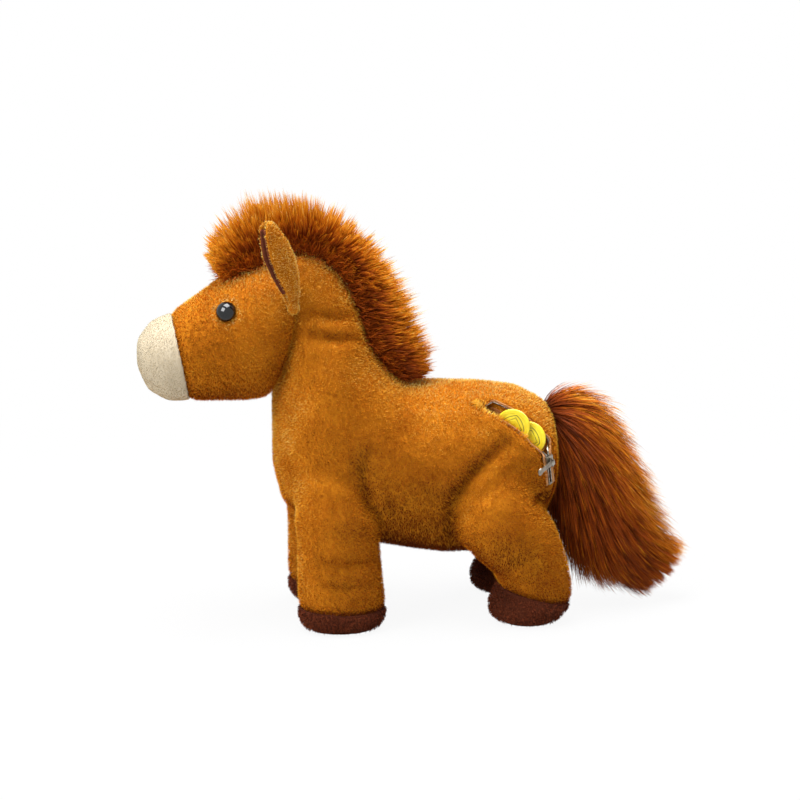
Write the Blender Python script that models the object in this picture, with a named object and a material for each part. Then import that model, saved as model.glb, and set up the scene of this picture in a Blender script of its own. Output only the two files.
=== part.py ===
# Plush horse, standing: sewn plush skins over stuffing, long fur on crest and tail,
# safety eyes, and a zip pocket with two coins in the left haunch.
# It faces -X, its left side is at -Y and it stands on Z = 0. Lengths are in metres.

import bpy
import bmesh
from math import cos, pi, radians, sin
from mathutils import Matrix, Vector

# Body and neck
BODY_LENGTH = 0.200
BODY_DEPTH = 0.123
BODY_WIDTH = 0.110
BELLY_HEIGHT = 0.043
NECK_RISE = 0.097
NECK_WIDTH = 0.074
RUMP_BULGE = 0.016
POLL_BULGE = 0.008

# Head and muzzle
HEAD_LENGTH = 0.079
HEAD_DEPTH = 0.102
HEAD_WIDTH = 0.082
CHEEK_BULGE = 0.008
MUZZLE_LENGTH = 0.0325

# Legs
LEG_SPREAD = 0.076
FRONT_LEG_LENGTH = 0.060
FRONT_LEG_WIDTH = 0.050
HIND_LEG_LENGTH = 0.058
HIND_LEG_WIDTH = 0.050
THIGH_LENGTH = 0.073
THIGH_WIDTH = 0.060
LEG_TOP_BULGE = 0.006
HOOF_HEIGHT = 0.0175
HOOF_RAISE = 0.0012
SOLE_THICKNESS = 0.003

# Fabric and fits
SKIN = 0.003
GAP = 0.0003
OVERRUN = 0.004

# Eyes
EYE_DIAMETER = 0.014
EYE_DOME = 0.0062
EYE_RIM = 0.0008
EYE_SEAT = 0.0010
SHANK_DIAMETER = 0.003
SHANK_LENGTH = 0.012
WASHER_DIAMETER = 0.016
WASHER_THICKNESS = 0.0015
WASHER_DEPTH = 0.0042

# Ears
EAR_HEIGHT = 0.060
EAR_DEPTH = 0.022
EAR_WIDTH = 0.012
EAR_PLUSH = 0.0019
EAR_LINING = 0.0009
EAR_OFFSET = 0.0400
EAR_TURN_DEGREES = 25.0
EAR_ROLL_DIAMETER = 0.007
EAR_ROLL_LENGTH = 0.010
EAR_ROLL_INSET = 0.0022
EAR_ROLL_CLEARANCE = 0.0004

# Mane
MANE_HEIGHT = 0.034
MANE_WIDTH = 0.045
MANE_SINK = 0.010
MANE_END_BULGE = 0.009
MANE_BACKING = 0.0016
MANE_BACKING_WIDTH = 0.026

# Tail
TAIL_LENGTH = 0.096
TAIL_DROP = 0.132
TAIL_WIDTH = 0.062
TAIL_TIP_BULGE = 0.008
DOCK_DIAMETER = 0.018
DOCK_CLEARANCE = 0.0004
TAIL_BACKING = 0.0016
TAIL_BACKING_WIDTH = 0.016

# Zip in the left haunch
MOUTH_LENGTH = 0.062
MOUTH_HALF = 0.0071
MOUTH_RISE = 0.0031
MOUTH_FADE = 0.0085
MOUTH_TAPER = 0.005
MOUTH_END_HALF = 0.0026
CLOSED_LENGTH = 0.0175
TRACK_BEND_START = 0.020
TRACK_BEND_END = 0.003
TRACK_STEP = 0.0005
ZIP_SINK = 0.0008
SLOT_DEPTH = 0.0048
TAPE_WIDTH = 0.0026
TAPE_THICKNESS = 0.0008
TEETH_WIDTH = 0.0010
TEETH_HEIGHT = 0.0011
TOOTH_PITCH = 0.0030
TOOTH_NOTCH = 0.0005

# Slider and its pull
SLIDER_LENGTH = 0.008
SLIDER_WIDTH = 0.007
SLIDER_PLATE = 0.0010
SLIDER_POST = 0.0007
BRIDGE_LENGTH = 0.0062
BRIDGE_BAR = 0.0010
BRIDGE_OPENING = 0.0017
PULL_RING_BORE = 0.0021
PULL_RING_WALL = 0.0008
PULL_RING_WIDTH = 0.0030
PULL_LENGTH = 0.019
PULL_WIDTH = 0.0030
PULL_THICKNESS = 0.0011
PULL_BULB = 0.0054
PULL_BULB_THICKNESS = 0.0018
PULL_TILT_DEGREES = 9.0
STOP_LENGTH = 0.0016
STOP_HEIGHT = 0.0011

# Coins, and the pouch that they stand in
COIN_DIAMETER = 0.024
COIN_THICKNESS = 0.0024
COIN_RIM = 0.0012
COIN_RIM_HEIGHT = 0.0003
COIN_GAP = 0.0005
COIN_FROM_SLIDER = 0.0215
COIN_PITCH = 0.0155
COIN_TILT_DEGREES = 50.0
COIN_LEAN = 0.0008
COIN_SINK = 0.0042
POUCH_WALL = 0.0008
POUCH_PLAY = 0.0017
POUCH_FRONT_END = 0.012
POUCH_SLIDER_END = 0.0012

# Facets
BODY_POINTS = 24
HEAD_POINTS = 22
LEG_POINTS = 16
FUR_POINTS = 16
ROUND_POINTS = 16
COIN_POINTS = 28
EAR_POINTS = 7
CAP_STEPS = 3
TRACK_SAMPLES = 60
TRACK_EVENED = 7
SMOOTH_ANGLE = radians(40)

# Cross-sections of the barrel, rump first: x of the back line, height of the back line,
# x of the belly line, height of the belly line, width. Heights run 0 to 1 over the barrel.
BARREL_SHARES = (
    (0.440, 0.894, 0.410, 0.154, 0.80),
    (0.360, 0.963, 0.340, 0.057, 0.91),
    (0.235, 0.992, 0.225, 0.000, 0.98),
    (0.100, 1.004, 0.100, 0.000, 1.00),
    (0.000, 1.016, -0.025, 0.033, 1.00),
    (-0.050, 1.040, -0.150, 0.073, 1.00),
)
# Cross-sections of shoulders and neck. Heights from 1 to 2 run up the neck.
SHOULDER_SHARES = (
    (-0.100, 1.144, -0.275, 0.122, 0.98),
    (-0.140, 1.268, -0.390, 0.187, 0.96),
    (-0.170, 1.402, -0.470, 0.333, 0.92),
    (-0.190, 1.557, -0.500, 0.545, 0.86),
)
NECK_SHARES = (
    (-0.220, 1.732, -0.500, 0.789, 1.08),
    (-0.265, 1.876, -0.500, 1.020, 0.98),
    (-0.330, 1.979, -0.490, 1.310, 0.89),
    (-0.400, 2.010, -0.480, 1.577, 0.76),
)
# Cross-sections of the head, muzzle seam first: forward and drop of the forehead line,
# forward and drop of the jaw line, width.
HEAD_SHARES = (
    (1.000, 0.392, 0.848, 1.000, 0.73),
    (0.861, 0.319, 0.709, 1.000, 0.81),
    (0.722, 0.245, 0.557, 1.000, 0.88),
    (0.557, 0.147, 0.380, 1.005, 0.95),
    (0.380, 0.069, 0.215, 0.990, 1.00),
    (0.177, 0.020, 0.076, 0.892, 0.97),
    (0.000, 0.000, -0.025, 0.725, 0.88),
)
HEAD_FROM_BODY_SHARE = -0.440
HEAD_CROWN_SHARE = 1.959
ROUND_SHARE = 2.0
MUZZLE_ROUND_SHARE = 2.3
SLOPE_SHARE = 0.02

# Cross-sections of a hoof and of the leg above it: front and rear edge, their heights,
# width, and distance from the middle plane.
LEG_TOP_SHARE = 0.65
FRONT_CENTRE_SHARE = -0.280
FRONT_HOOF_SHARES = (
    (-0.433, 0.00, 0.433, 0.00, 0.82, 0.98),
    (-0.508, 0.42, 0.508, 0.42, 0.98, 0.98),
    (-0.517, 1.00, 0.517, 0.89, 1.00, 0.98),
)
FRONT_LEG_SHARES = (
    (-0.517, 0.285, 0.483, 0.268, 0.98, 0.97),
    (-0.517, 0.488, 0.450, 0.472, 1.00, 0.95),
    (-0.550, 0.683, 0.433, 0.659, 1.02, 0.90),
    (-0.533, 0.846, 0.367, 0.821, 0.96, 0.80),
    (-0.433, 0.976, 0.233, 0.959, 0.80, 0.69),
)
# A hind hoof is taller in front, and the thigh above it is large.
HIND_CENTRE_SHARE = 0.375
HIND_HOOF_SHARES = (
    (-0.362, 0.00, 0.362, 0.00, 0.78, 1.00),
    (-0.474, 0.31, 0.448, 0.31, 0.96, 1.00),
    (-0.491, 0.86, 0.500, 0.56, 1.00, 1.00),
    (-0.379, 1.68, 0.526, 0.77, 0.96, 1.00),
)
HIND_LEG_SHARES = (
    (-0.448, 0.305, 0.543, 0.190, 1.02, 1.00),
)
THIGH_CENTRE_SHARE = 0.305
THIGH_SHARES = (
    (-0.330, 0.386, 0.596, 0.300, 0.92, 1.00),
    (-0.480, 0.485, 0.534, 0.431, 0.98, 1.00),
    (-0.548, 0.602, 0.445, 0.569, 1.00, 0.98),
    (-0.521, 0.715, 0.310, 0.699, 0.95, 0.92),
    (-0.384, 0.829, 0.240, 0.813, 0.80, 0.84),
    (-0.233, 0.919, 0.180, 0.911, 0.60, 0.76),
)

EYE_STATION_SHARE = 2.72
EYE_ANGLE_DEGREES = 55.0
# The dome of an eye from its rim to its top: radius and height.
EYE_DOME_SHARES = ((0.96, 0.30), (0.82, 0.62), (0.55, 0.87), (0.20, 1.00))

# Sections of an ear from its base up: front edge and rear edge, height, width.
EAR_HEIGHT_SHARE = 0.325
EAR_SHARES = (
    (-0.14, 0.12, 0.02, 0.55),
    (-0.34, 0.21, 0.17, 0.78),
    (-0.66, 0.19, 0.37, 0.94),
    (-0.93, 0.08, 0.58, 1.00),
    (-1.02, -0.14, 0.74, 0.94),
    (-1.07, -0.48, 0.91, 0.84),
    (-0.97, -0.74, 1.00, 0.60),
)

# Height, width and lean in degrees of the mane on the neck's sections, from the withers up.
MANE_NECK_SHARES = (
    (0.62, 0.62, -38.0),
    (0.92, 0.82, -24.0),
    (1.00, 0.95, -9.0),
    (1.00, 1.00, 0.0),
    (1.00, 1.00, 0.0),
    (0.90, 1.00, 0.0),
    (0.82, 1.00, 0.0),
    (0.80, 0.98, 0.0),
    (0.88, 0.96, 0.0),
)
# The same on the head's stations, which come first, from the crown forward.
MANE_HEAD_SHARES = (
    (5.0, 0.96, 0.92, 6.0),
    (4.3, 0.98, 0.86, 14.0),
    (3.7, 0.84, 0.68, 34.0),
)

# Sections of the tail from its root: the outer edge and the inner edge, out and down, and width.
TAIL_ROOT_SHARE = 0.756
TAIL_SHARES = (
    (0.06, -0.06, 0.06, 0.07, 0.34),
    (0.16, -0.13, 0.09, 0.16, 0.62),
    (0.31, -0.13, 0.09, 0.32, 0.84),
    (0.46, -0.02, 0.09, 0.47, 0.94),
    (0.59, 0.14, 0.13, 0.61, 1.00),
    (0.68, 0.30, 0.18, 0.76, 1.00),
    (0.77, 0.44, 0.26, 0.88, 0.94),
    (0.87, 0.59, 0.42, 0.96, 0.81),
    (0.96, 0.72, 0.65, 0.975, 0.58),
)
TAIL_BACKING_SECTIONS = 5

# The zip's line on the left flank: body station, and angle in degrees from the back line,
# at its upper end, at the point that its curve bends toward, at the slider and at its lower end.
ZIP_UPPER_SHARE = (2.30, 33.0)
ZIP_BEND_SHARE = (0.60, 58.0)
ZIP_SLIDER_SHARE = (-0.10, 80.0)
ZIP_LOWER_SHARE = (-0.25, 102.0)
BULB_SHARES = ((0.55, -1.0), (0.88, -0.6), (1.0, 0.0), (0.88, 0.6), (0.55, 1.0))

PLUSH_BROWN = (0.43, 0.16, 0.025)
CREAM = (0.80, 0.72, 0.58)
HOOF_BROWN = (0.075, 0.028, 0.014)
FUR_BROWN = (0.24, 0.075, 0.016)
LINING_BROWN = (0.12, 0.040, 0.022)
STUFFING_WHITE = (0.85, 0.85, 0.82)
BACKING_TAN = (0.30, 0.15, 0.06)
EYE_BLACK = (0.012, 0.013, 0.016)
WASHER_WHITE = (0.75, 0.75, 0.73)
TAPE_TAN = (0.45, 0.25, 0.12)
METAL_GREY = (0.45, 0.46, 0.45)
COIN_YELLOW = (0.80, 0.62, 0.02)

SIDES = (("left", -1), ("right", 1))
BACK_HEIGHT = BELLY_HEIGHT + BODY_DEPTH
LEG_TOP = BELLY_HEIGHT + LEG_TOP_SHARE * BODY_DEPTH
LEFT = Vector((0.0, -1.0, 0.0))
UP = Vector((0.0, 0.0, 1.0))


# Meshes and objects

def clear_scene():
    for item in list(bpy.data.objects):
        bpy.data.objects.remove(item, do_unlink=True)


def finish_for(name, colour, roughness, metallic):
    made = bpy.data.materials.new(name + "_finish")
    made.use_nodes = True
    shader = made.node_tree.nodes["Principled BSDF"]
    shader.inputs["Base Color"].default_value = (*colour, 1.0)
    shader.inputs["Roughness"].default_value = roughness
    shader.inputs["Metallic"].default_value = metallic
    made.diffuse_color = (*colour, 1.0)
    return made


def place_object(name, mesh, parent, origin=Vector()):
    bmesh.ops.recalc_face_normals(mesh, faces=mesh.faces)
    bmesh.ops.translate(mesh, verts=mesh.verts, vec=-origin)
    data = bpy.data.meshes.new(name)
    mesh.to_mesh(data)
    mesh.free()
    data.shade_smooth()
    data.set_sharp_from_angle(angle=SMOOTH_ANGLE)
    made = bpy.data.objects.new(name, data)
    made.location = origin
    made.parent = parent
    bpy.context.scene.collection.objects.link(made)
    return made


def piece(name, mesh, parent, colour, roughness=0.9, metallic=0.0, origin=Vector()):
    made = place_object(name, mesh, parent, origin)
    made.data.materials.append(finish_for(name, colour, roughness, metallic))
    return made


def guide(name, mesh, parent):
    made = place_object(name, mesh, parent)
    made.hide_render = True
    made.display_type = "WIRE"
    return made


def combine(target, *tools, operation="DIFFERENCE"):
    """Cuts, joins or trims a target with all the tools in one step."""
    step = target.modifiers.new(operation.title(), "BOOLEAN")
    step.operation = operation
    step.solver = "EXACT"
    if len(tools) == 1:
        step.object = tools[0]
        return
    step.operand_type = "COLLECTION"
    step.collection = bpy.data.collections.new(target.name + "_cutters")
    for tool in tools:
        step.collection.objects.link(tool)


def add_ring(mesh, points):
    return [mesh.verts.new(point) for point in points]


def join_rings(mesh, ring, following):
    """Triangles between two rings, so that a form and its grown copies have the same diagonals."""
    count = len(ring)
    for k in range(count):
        n = (k + 1) % count
        mesh.faces.new((ring[k], ring[n], following[n]))
        mesh.faces.new((ring[k], following[n], following[k]))


def close_ring(mesh, ring, tip):
    if tip is None:
        mesh.faces.new(ring)
        return
    pole = mesh.verts.new(tip)
    for k, vertex in enumerate(ring):
        mesh.faces.new((vertex, ring[(k + 1) % len(ring)], pole))


def add_tube(mesh, rings, tips=(None, None), is_open=(False, False)):
    made = [add_ring(mesh, ring) for ring in rings]
    for ring, following in zip(made, made[1:]):
        join_rings(mesh, ring, following)
    if not is_open[0]:
        close_ring(mesh, made[0], tips[0])
    if not is_open[1]:
        close_ring(mesh, made[-1], tips[1])
    return made


def tube(rings):
    mesh = bmesh.new()
    add_tube(mesh, rings)
    return mesh


def circle(centre, axis, radius, height, points):
    turn = axis.to_track_quat("Z", "Y").to_matrix()
    return [centre + turn @ Vector((radius * cos(2 * pi * k / points), radius * sin(2 * pi * k / points), height))
            for k in range(points)]


def turned(profile, centre, axis, points=ROUND_POINTS):
    """A solid turned about an axis from (radius, height) pairs, flat at both ends."""
    return tube([circle(centre, axis, radius, height, points) for radius, height in profile])


def turned_ring(profile, centre, axis, points=ROUND_POINTS):
    """A ring turned about an axis from a closed outline that keeps off the axis."""
    mesh = bmesh.new()
    rings = [add_ring(mesh, circle(centre, axis, radius, height, points)) for radius, height in profile]
    for k, ring in enumerate(rings):
        join_rings(mesh, ring, rings[(k + 1) % len(rings)])
    return mesh


def ball(centre, radius):
    mesh = bmesh.new()
    bmesh.ops.create_uvsphere(mesh, u_segments=ROUND_POINTS, v_segments=ROUND_POINTS // 2, radius=radius,
                              matrix=Matrix.Translation(centre))
    return mesh


def prism(frame, outline, start, end):
    """An outline of (across, out) pairs drawn along a frame of point, along, across and out."""
    point, along, across, out = frame
    return tube([[point + along * s + across * a + out * o for a, o in outline] for s in (start, end)])


def rectangle(low, high):
    return ((low[0], low[1]), (high[0], low[1]), (high[0], high[1]), (low[0], high[1]))


# Stuffed forms

class Row:
    """A cross-section: two opposite points in a plane of constant y, and its half width along y."""

    def __init__(self, first, second, half_width):
        self.first = first
        self.second = second
        self.half_width = half_width

    def centre(self):
        return (self.first + self.second) / 2

    def arm(self):
        return (self.first - self.second) / 2

    def point(self, angle, grow=0.0, scale=1.0):
        arm = self.arm()
        reach = arm + arm.normalized() * grow
        side = Vector((0.0, self.half_width + grow, 0.0))
        return self.centre() + (reach * cos(angle) + side * sin(angle)) * scale

    def ring(self, count, grow=0.0, scale=1.0, shift=Vector()):
        return [self.point(2 * pi * k / count, grow, scale) + shift for k in range(count)]

    def moved(self, shift):
        return Row(self.first + shift, self.second + shift, self.half_width)

    def toward(self, other, share):
        return Row(self.first.lerp(other.first, share), self.second.lerp(other.second, share),
                   self.half_width + (other.half_width - self.half_width) * share)


def middle_row(x, z, other_x, other_z, half_width):
    """A row in the middle plane."""
    return Row(Vector((x, 0.0, z)), Vector((other_x, 0.0, other_z)), half_width)


class Form:
    """A stuffed form through rows, with a rounded cap on each end that has a bulge."""

    def __init__(self, rows, points, bulges, roundness=ROUND_SHARE):
        self.rows = rows
        self.points = points
        self.bulges = bulges
        self.roundness = roundness

    def end_rows(self, end):
        return (self.rows[0], self.rows[1]) if end == 0 else (self.rows[-1], self.rows[-2])

    def outward(self, end):
        row, neighbour = self.end_rows(end)
        arm = row.arm()
        normal = Vector((arm.z, 0.0, -arm.x)).normalized()
        return normal if normal.dot(row.centre() - neighbour.centre()) > 0 else -normal

    def cap(self, end, grow):
        """The rings of a cap, from next to the end row outward, and its pole."""
        row = self.end_rows(end)[0]
        depth = self.bulges[end] + grow
        outward = self.outward(end)
        rings = []
        for k in range(1, CAP_STEPS):
            reach = sin(pi / 2 * k / CAP_STEPS)
            scale = (1 - reach ** self.roundness) ** (1 / self.roundness)
            rings.append(row.ring(self.points, grow, scale, outward * depth * reach))
        return rings, row.centre() + outward * depth

    def rings(self, grow=0.0):
        rings = [row.ring(self.points, grow) for row in self.rows]
        tips = [None, None]
        if self.bulges[0]:
            capped, tips[0] = self.cap(0, grow)
            rings = capped[::-1] + rings
        if self.bulges[1]:
            capped, tips[1] = self.cap(1, grow)
            rings = rings + capped
        return rings, tips

    def solid(self, grow=0.0):
        mesh = bmesh.new()
        rings, tips = self.rings(grow)
        add_tube(mesh, rings, tips)
        return mesh

    def skin(self):
        """A skin of even wall, open at the ends that have no bulge."""
        mesh = bmesh.new()
        is_open = [bulge == 0 for bulge in self.bulges]
        walls = []
        for grow in (0.0, -SKIN):
            rings, tips = self.rings(grow)
            walls.append(add_tube(mesh, rings, tips, is_open))
        for end in (0, -1):
            if is_open[end]:
                join_rings(mesh, walls[0][end], walls[1][end])
        return mesh

    def cup(self, end):
        """The cap of one end alone, as a skin that starts a gap away from the end row."""
        mesh = bmesh.new()
        row = self.end_rows(end)[0]
        base = self.outward(end) * GAP
        rims = []
        for grow in (0.0, -SKIN):
            capped, tip = self.cap(end, grow)
            rims.append(add_tube(mesh, [row.ring(self.points, grow, 1.0, base)] + capped,
                                 (None, tip), (True, False))[0])
        join_rings(mesh, *rims)
        return mesh

    def row_at(self, station):
        """The row at a station, which counts the rows from 0."""
        low = min(max(int(station), 0), len(self.rows) - 2)
        return self.rows[low].toward(self.rows[low + 1], station - low)

    def surface_point(self, station, angle):
        """A point of the surface. Below 0, stations run over the first cap to -1 at its pole."""
        if station >= 0:
            return self.row_at(station).point(angle)
        ring = int(-station * CAP_STEPS)
        near, far = (self.rows[0].point(angle, 0.0, cos(turn)) + self.outward(0) * self.bulges[0] * sin(turn)
                     for turn in (pi / 2 * ring / CAP_STEPS, pi / 2 * (ring + 1) / CAP_STEPS))
        return near.lerp(far, -station * CAP_STEPS - ring)

    def surface(self, station, angle):
        """A point of the surface and its normal."""
        point = self.surface_point(station, angle)
        along, around = (self.surface_point(station + s, angle + a) - self.surface_point(station - s, angle - a)
                         for s, a in ((SLOPE_SHARE, 0.0), (0.0, SLOPE_SHARE)))
        normal = along.cross(around).normalized()
        return point, normal if normal.dot(point - self.row_at(station).centre()) > 0 else -normal


def barrel_height(share):
    """Height for a share that runs 0 to 1 up the barrel and 1 to 2 up the neck."""
    if share <= 1:
        return BELLY_HEIGHT + share * BODY_DEPTH
    return BACK_HEIGHT + (share - 1) * NECK_RISE


def body_rows():
    sections = [(shares, BODY_WIDTH) for shares in BARREL_SHARES + SHOULDER_SHARES]
    sections += [(shares, NECK_WIDTH) for shares in NECK_SHARES]
    return [middle_row(back_x * BODY_LENGTH, barrel_height(back_z), belly_x * BODY_LENGTH,
                       barrel_height(belly_z), wide * width / 2)
            for (back_x, back_z, belly_x, belly_z, wide), width in sections]


def head_point(forward, drop):
    return (HEAD_FROM_BODY_SHARE * BODY_LENGTH - forward * HEAD_LENGTH,
            barrel_height(HEAD_CROWN_SHARE) - drop * HEAD_DEPTH)


def head_rows():
    return [middle_row(*head_point(forward, drop), *head_point(jaw, jaw_drop), wide * HEAD_WIDTH / 2)
            for forward, drop, jaw, jaw_drop, wide in HEAD_SHARES]


def leg_rows(sections, centre_share, length, width, height, base, side):
    centre = centre_share * BODY_LENGTH
    rows = []
    for front, front_z, rear, rear_z, wide, spread in sections:
        y = side * spread * LEG_SPREAD / 2
        rows.append(Row(Vector((centre + front * length, y, base + front_z * height)),
                        Vector((centre + rear * length, y, base + rear_z * height)), wide * width / 2))
    return rows


def front_leg(side):
    """The hoof's rows and the leg's rows."""
    size = (FRONT_CENTRE_SHARE, FRONT_LEG_LENGTH, FRONT_LEG_WIDTH)
    hoof = leg_rows(FRONT_HOOF_SHARES, *size, HOOF_HEIGHT - HOOF_RAISE, HOOF_RAISE, side)
    return hoof, leg_rows(FRONT_LEG_SHARES, *size, LEG_TOP, 0.0, side)


def hind_leg(side):
    """The hoof's rows and the rows of leg and thigh."""
    size = (HIND_CENTRE_SHARE, HIND_LEG_LENGTH, HIND_LEG_WIDTH)
    hoof = leg_rows(HIND_HOOF_SHARES, *size, HOOF_HEIGHT - HOOF_RAISE, HOOF_RAISE, side)
    leg = leg_rows(HIND_LEG_SHARES, *size, LEG_TOP, 0.0, side)
    thigh = leg_rows(THIGH_SHARES, THIGH_CENTRE_SHARE, THIGH_LENGTH, THIGH_WIDTH, LEG_TOP, 0.0, side)
    return hoof, leg + thigh


BODY = Form(body_rows(), BODY_POINTS, (RUMP_BULGE, POLL_BULGE))
HEAD = Form(head_rows(), HEAD_POINTS, (0.0, CHEEK_BULGE), MUZZLE_ROUND_SHARE)
HEAD_WITH_MUZZLE = Form(head_rows(), HEAD_POINTS, (MUZZLE_LENGTH, CHEEK_BULGE), MUZZLE_ROUND_SHARE)


# Torso

def make_torso(parent, cutters):
    skin = piece("torso_skin", BODY.solid(), parent, PLUSH_BROWN)
    combine(skin, guide("torso_hollow", BODY.solid(-SKIN), parent), cutters["slot"], cutters["dock_seat"])
    stuffing = piece("torso_stuffing", BODY.solid(-SKIN - GAP), parent, STUFFING_WHITE)
    combine(stuffing, cutters["pouch_seat"], cutters["slot"], cutters["dock_seat"])


# Head, muzzle and eyes

def eye_place(side):
    return HEAD.surface(EYE_STATION_SHARE, side * radians(EYE_ANGLE_DEGREES))


def washer_outline(clearance):
    inner = SHANK_DIAMETER / 2 + GAP - clearance
    outer = WASHER_DIAMETER / 2 + clearance
    low = -WASHER_DEPTH - WASHER_THICKNESS - clearance
    return inner, outer, low


def make_head(parent, cutters):
    skin = piece("head_skin", HEAD.skin(), parent, PLUSH_BROWN)
    stuffing = piece("head_stuffing", HEAD_WITH_MUZZLE.solid(-SKIN - GAP), parent, STUFFING_WHITE)
    piece("muzzle", HEAD_WITH_MUZZLE.cup(0), parent, CREAM)
    skin_cutters = [cutters["torso"]]
    stuffing_cutters = [cutters["torso"]]
    radius = EYE_DIAMETER / 2
    shank = SHANK_DIAMETER / 2
    base = GAP - EYE_SEAT
    for name, side in SIDES:
        point, normal = eye_place(side)
        profile = [(shank, -SHANK_LENGTH), (shank, base), (radius, base), (radius, base + EYE_RIM)]
        profile += [(radius * wide, base + EYE_RIM + EYE_DOME * high) for wide, high in EYE_DOME_SHARES]
        piece(name + "_eye", turned(profile, point, normal), parent, EYE_BLACK, 0.08)
        seat = guide(name + "_eye_seat", turned([(radius + GAP, -EYE_SEAT), (radius + GAP, OVERRUN)],
                                                point, normal), parent)
        hole = guide(name + "_eye_hole", turned([(shank + GAP, -SHANK_LENGTH - GAP), (shank + GAP, 0.0)],
                                                point, normal), parent)
        inner, outer, low = washer_outline(0.0)
        piece(name + "_eye_washer", turned_ring([(inner, low), (outer, low), (outer, -WASHER_DEPTH),
                                                 (inner, -WASHER_DEPTH)], point, normal), parent, WASHER_WHITE, 0.5)
        inner, outer, low = washer_outline(GAP)
        recess = guide(name + "_washer_seat", turned([(outer, low), (outer, OVERRUN)], point, normal), parent)
        skin_cutters += [seat, hole, cutters[name + "_ear_seat"]]
        stuffing_cutters += [hole, recess, cutters[name + "_ear_seat"]]
    combine(skin, *skin_cutters)
    combine(stuffing, *stuffing_cutters)


# Ears

def ear_base(side):
    x, z = head_point(0.0, EAR_HEIGHT_SHARE)
    return Vector((x, side * EAR_OFFSET, z))


def ear_roll(side, clearance):
    """The rolled base of an ear, whose axis is the fold's axis."""
    centre = ear_base(side) - Vector((0.0, side * EAR_ROLL_INSET, 0.0))
    radius = EAR_ROLL_DIAMETER / 2 + clearance
    half = EAR_ROLL_LENGTH / 2 + clearance
    return turned([(radius, -half), (radius, half)], centre, LEFT)


def ear_leaf(side, inset, wall, first, last):
    """A folded leaf of even wall, whose outer face lies an inset inside the ear's outline."""
    turn = Matrix.Rotation(-side * radians(EAR_TURN_DEGREES), 3, "Z")
    rings = []
    for front, rear, height, width in EAR_SHARES[first:last]:
        ring = []
        for depth, backward in ((inset, False), (inset + wall, True)):
            half_width = width * EAR_WIDTH / 2 - depth
            reach = (rear - front) * EAR_DEPTH - depth
            arc = [pi / 2 - pi * k / (EAR_POINTS - 1) for k in range(EAR_POINTS)]
            for angle in reversed(arc) if backward else arc:
                offset = Vector((front * EAR_DEPTH + reach * cos(angle), half_width * sin(angle),
                                 height * EAR_HEIGHT))
                ring.append(ear_base(side) + turn @ offset)
        rings.append(ring)
    return tube(rings)


def make_ears(parent):
    for name, side in SIDES:
        pivot = ear_base(side)
        leaf = piece(name + "_ear", ear_leaf(side, 0.0, EAR_PLUSH, 0, len(EAR_SHARES)), parent, PLUSH_BROWN,
                     origin=pivot)
        combine(leaf, guide(name + "_ear_roll", ear_roll(side, 0.0), parent), operation="UNION")
        lining = ear_leaf(side, EAR_PLUSH + GAP, EAR_LINING, 1, len(EAR_SHARES) - 1)
        piece(name + "_ear_lining", lining, parent, LINING_BROWN, origin=pivot)


# Mane

def crest_points():
    """Points along the crest from the withers over the crown, with the mane's shares there."""
    first = len(BODY.rows) - len(MANE_NECK_SHARES)
    crest = [(row.first, shares) for row, shares in zip(BODY.rows[first:], MANE_NECK_SHARES)]
    crest += [(HEAD.row_at(station).first, shares) for station, *shares in MANE_HEAD_SHARES]
    return crest


def mane_form(sink, half_width=None):
    crest = crest_points()
    rows = []
    for k, (point, (height, width, lean)) in enumerate(crest):
        before = crest[max(k - 1, 0)][0]
        after = crest[min(k + 1, len(crest) - 1)][0]
        line = (after - before).normalized()
        normal = Matrix.Rotation(-radians(lean), 3, "Y") @ Vector((line.z, 0.0, -line.x))
        rows.append(Row(point + normal * height * MANE_HEIGHT, point - normal * sink,
                        half_width or width * MANE_WIDTH / 2))
    return Form(rows, FUR_POINTS, (MANE_END_BULGE, MANE_END_BULGE))


def make_mane(parent, cutters):
    clear = GAP + MANE_BACKING + GAP
    fur = piece("mane_fur", mane_form(MANE_SINK).solid(), parent, FUR_BROWN)
    combine(fur, guide("torso_under_fur", BODY.solid(clear), parent),
            guide("head_under_fur", HEAD_WITH_MUZZLE.solid(clear), parent))
    reach = guide("torso_under_backing", BODY.solid(GAP + MANE_BACKING), parent)
    combine(reach, guide("head_under_backing", HEAD_WITH_MUZZLE.solid(GAP + MANE_BACKING), parent),
            operation="UNION")
    backing = piece("mane_backing", mane_form(MANE_SINK, MANE_BACKING_WIDTH / 2).solid(), parent, BACKING_TAN)
    combine(backing, reach, operation="INTERSECT")
    combine(backing, cutters["torso"], cutters["head"])


# Tail

def dock_centre():
    rump = BODY.rows[0]
    depth = rump.first.z - rump.second.z
    rise = (TAIL_ROOT_SHARE * BODY_DEPTH + BELLY_HEIGHT - rump.centre().z) / (depth / 2)
    reach = (1 - rise ** 2) ** 0.5
    return rump.centre() + rump.arm() * rise + BODY.outward(0) * RUMP_BULGE * reach


def tail_rows():
    dock = dock_centre()
    return [middle_row(dock.x + out * TAIL_LENGTH, dock.z - down * TAIL_DROP,
                       dock.x + inner_out * TAIL_LENGTH, dock.z - inner_down * TAIL_DROP, wide * TAIL_WIDTH / 2)
            for out, down, inner_out, inner_down, wide in TAIL_SHARES]


TAIL = Form(tail_rows(), FUR_POINTS, (0.0, TAIL_TIP_BULGE))


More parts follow.
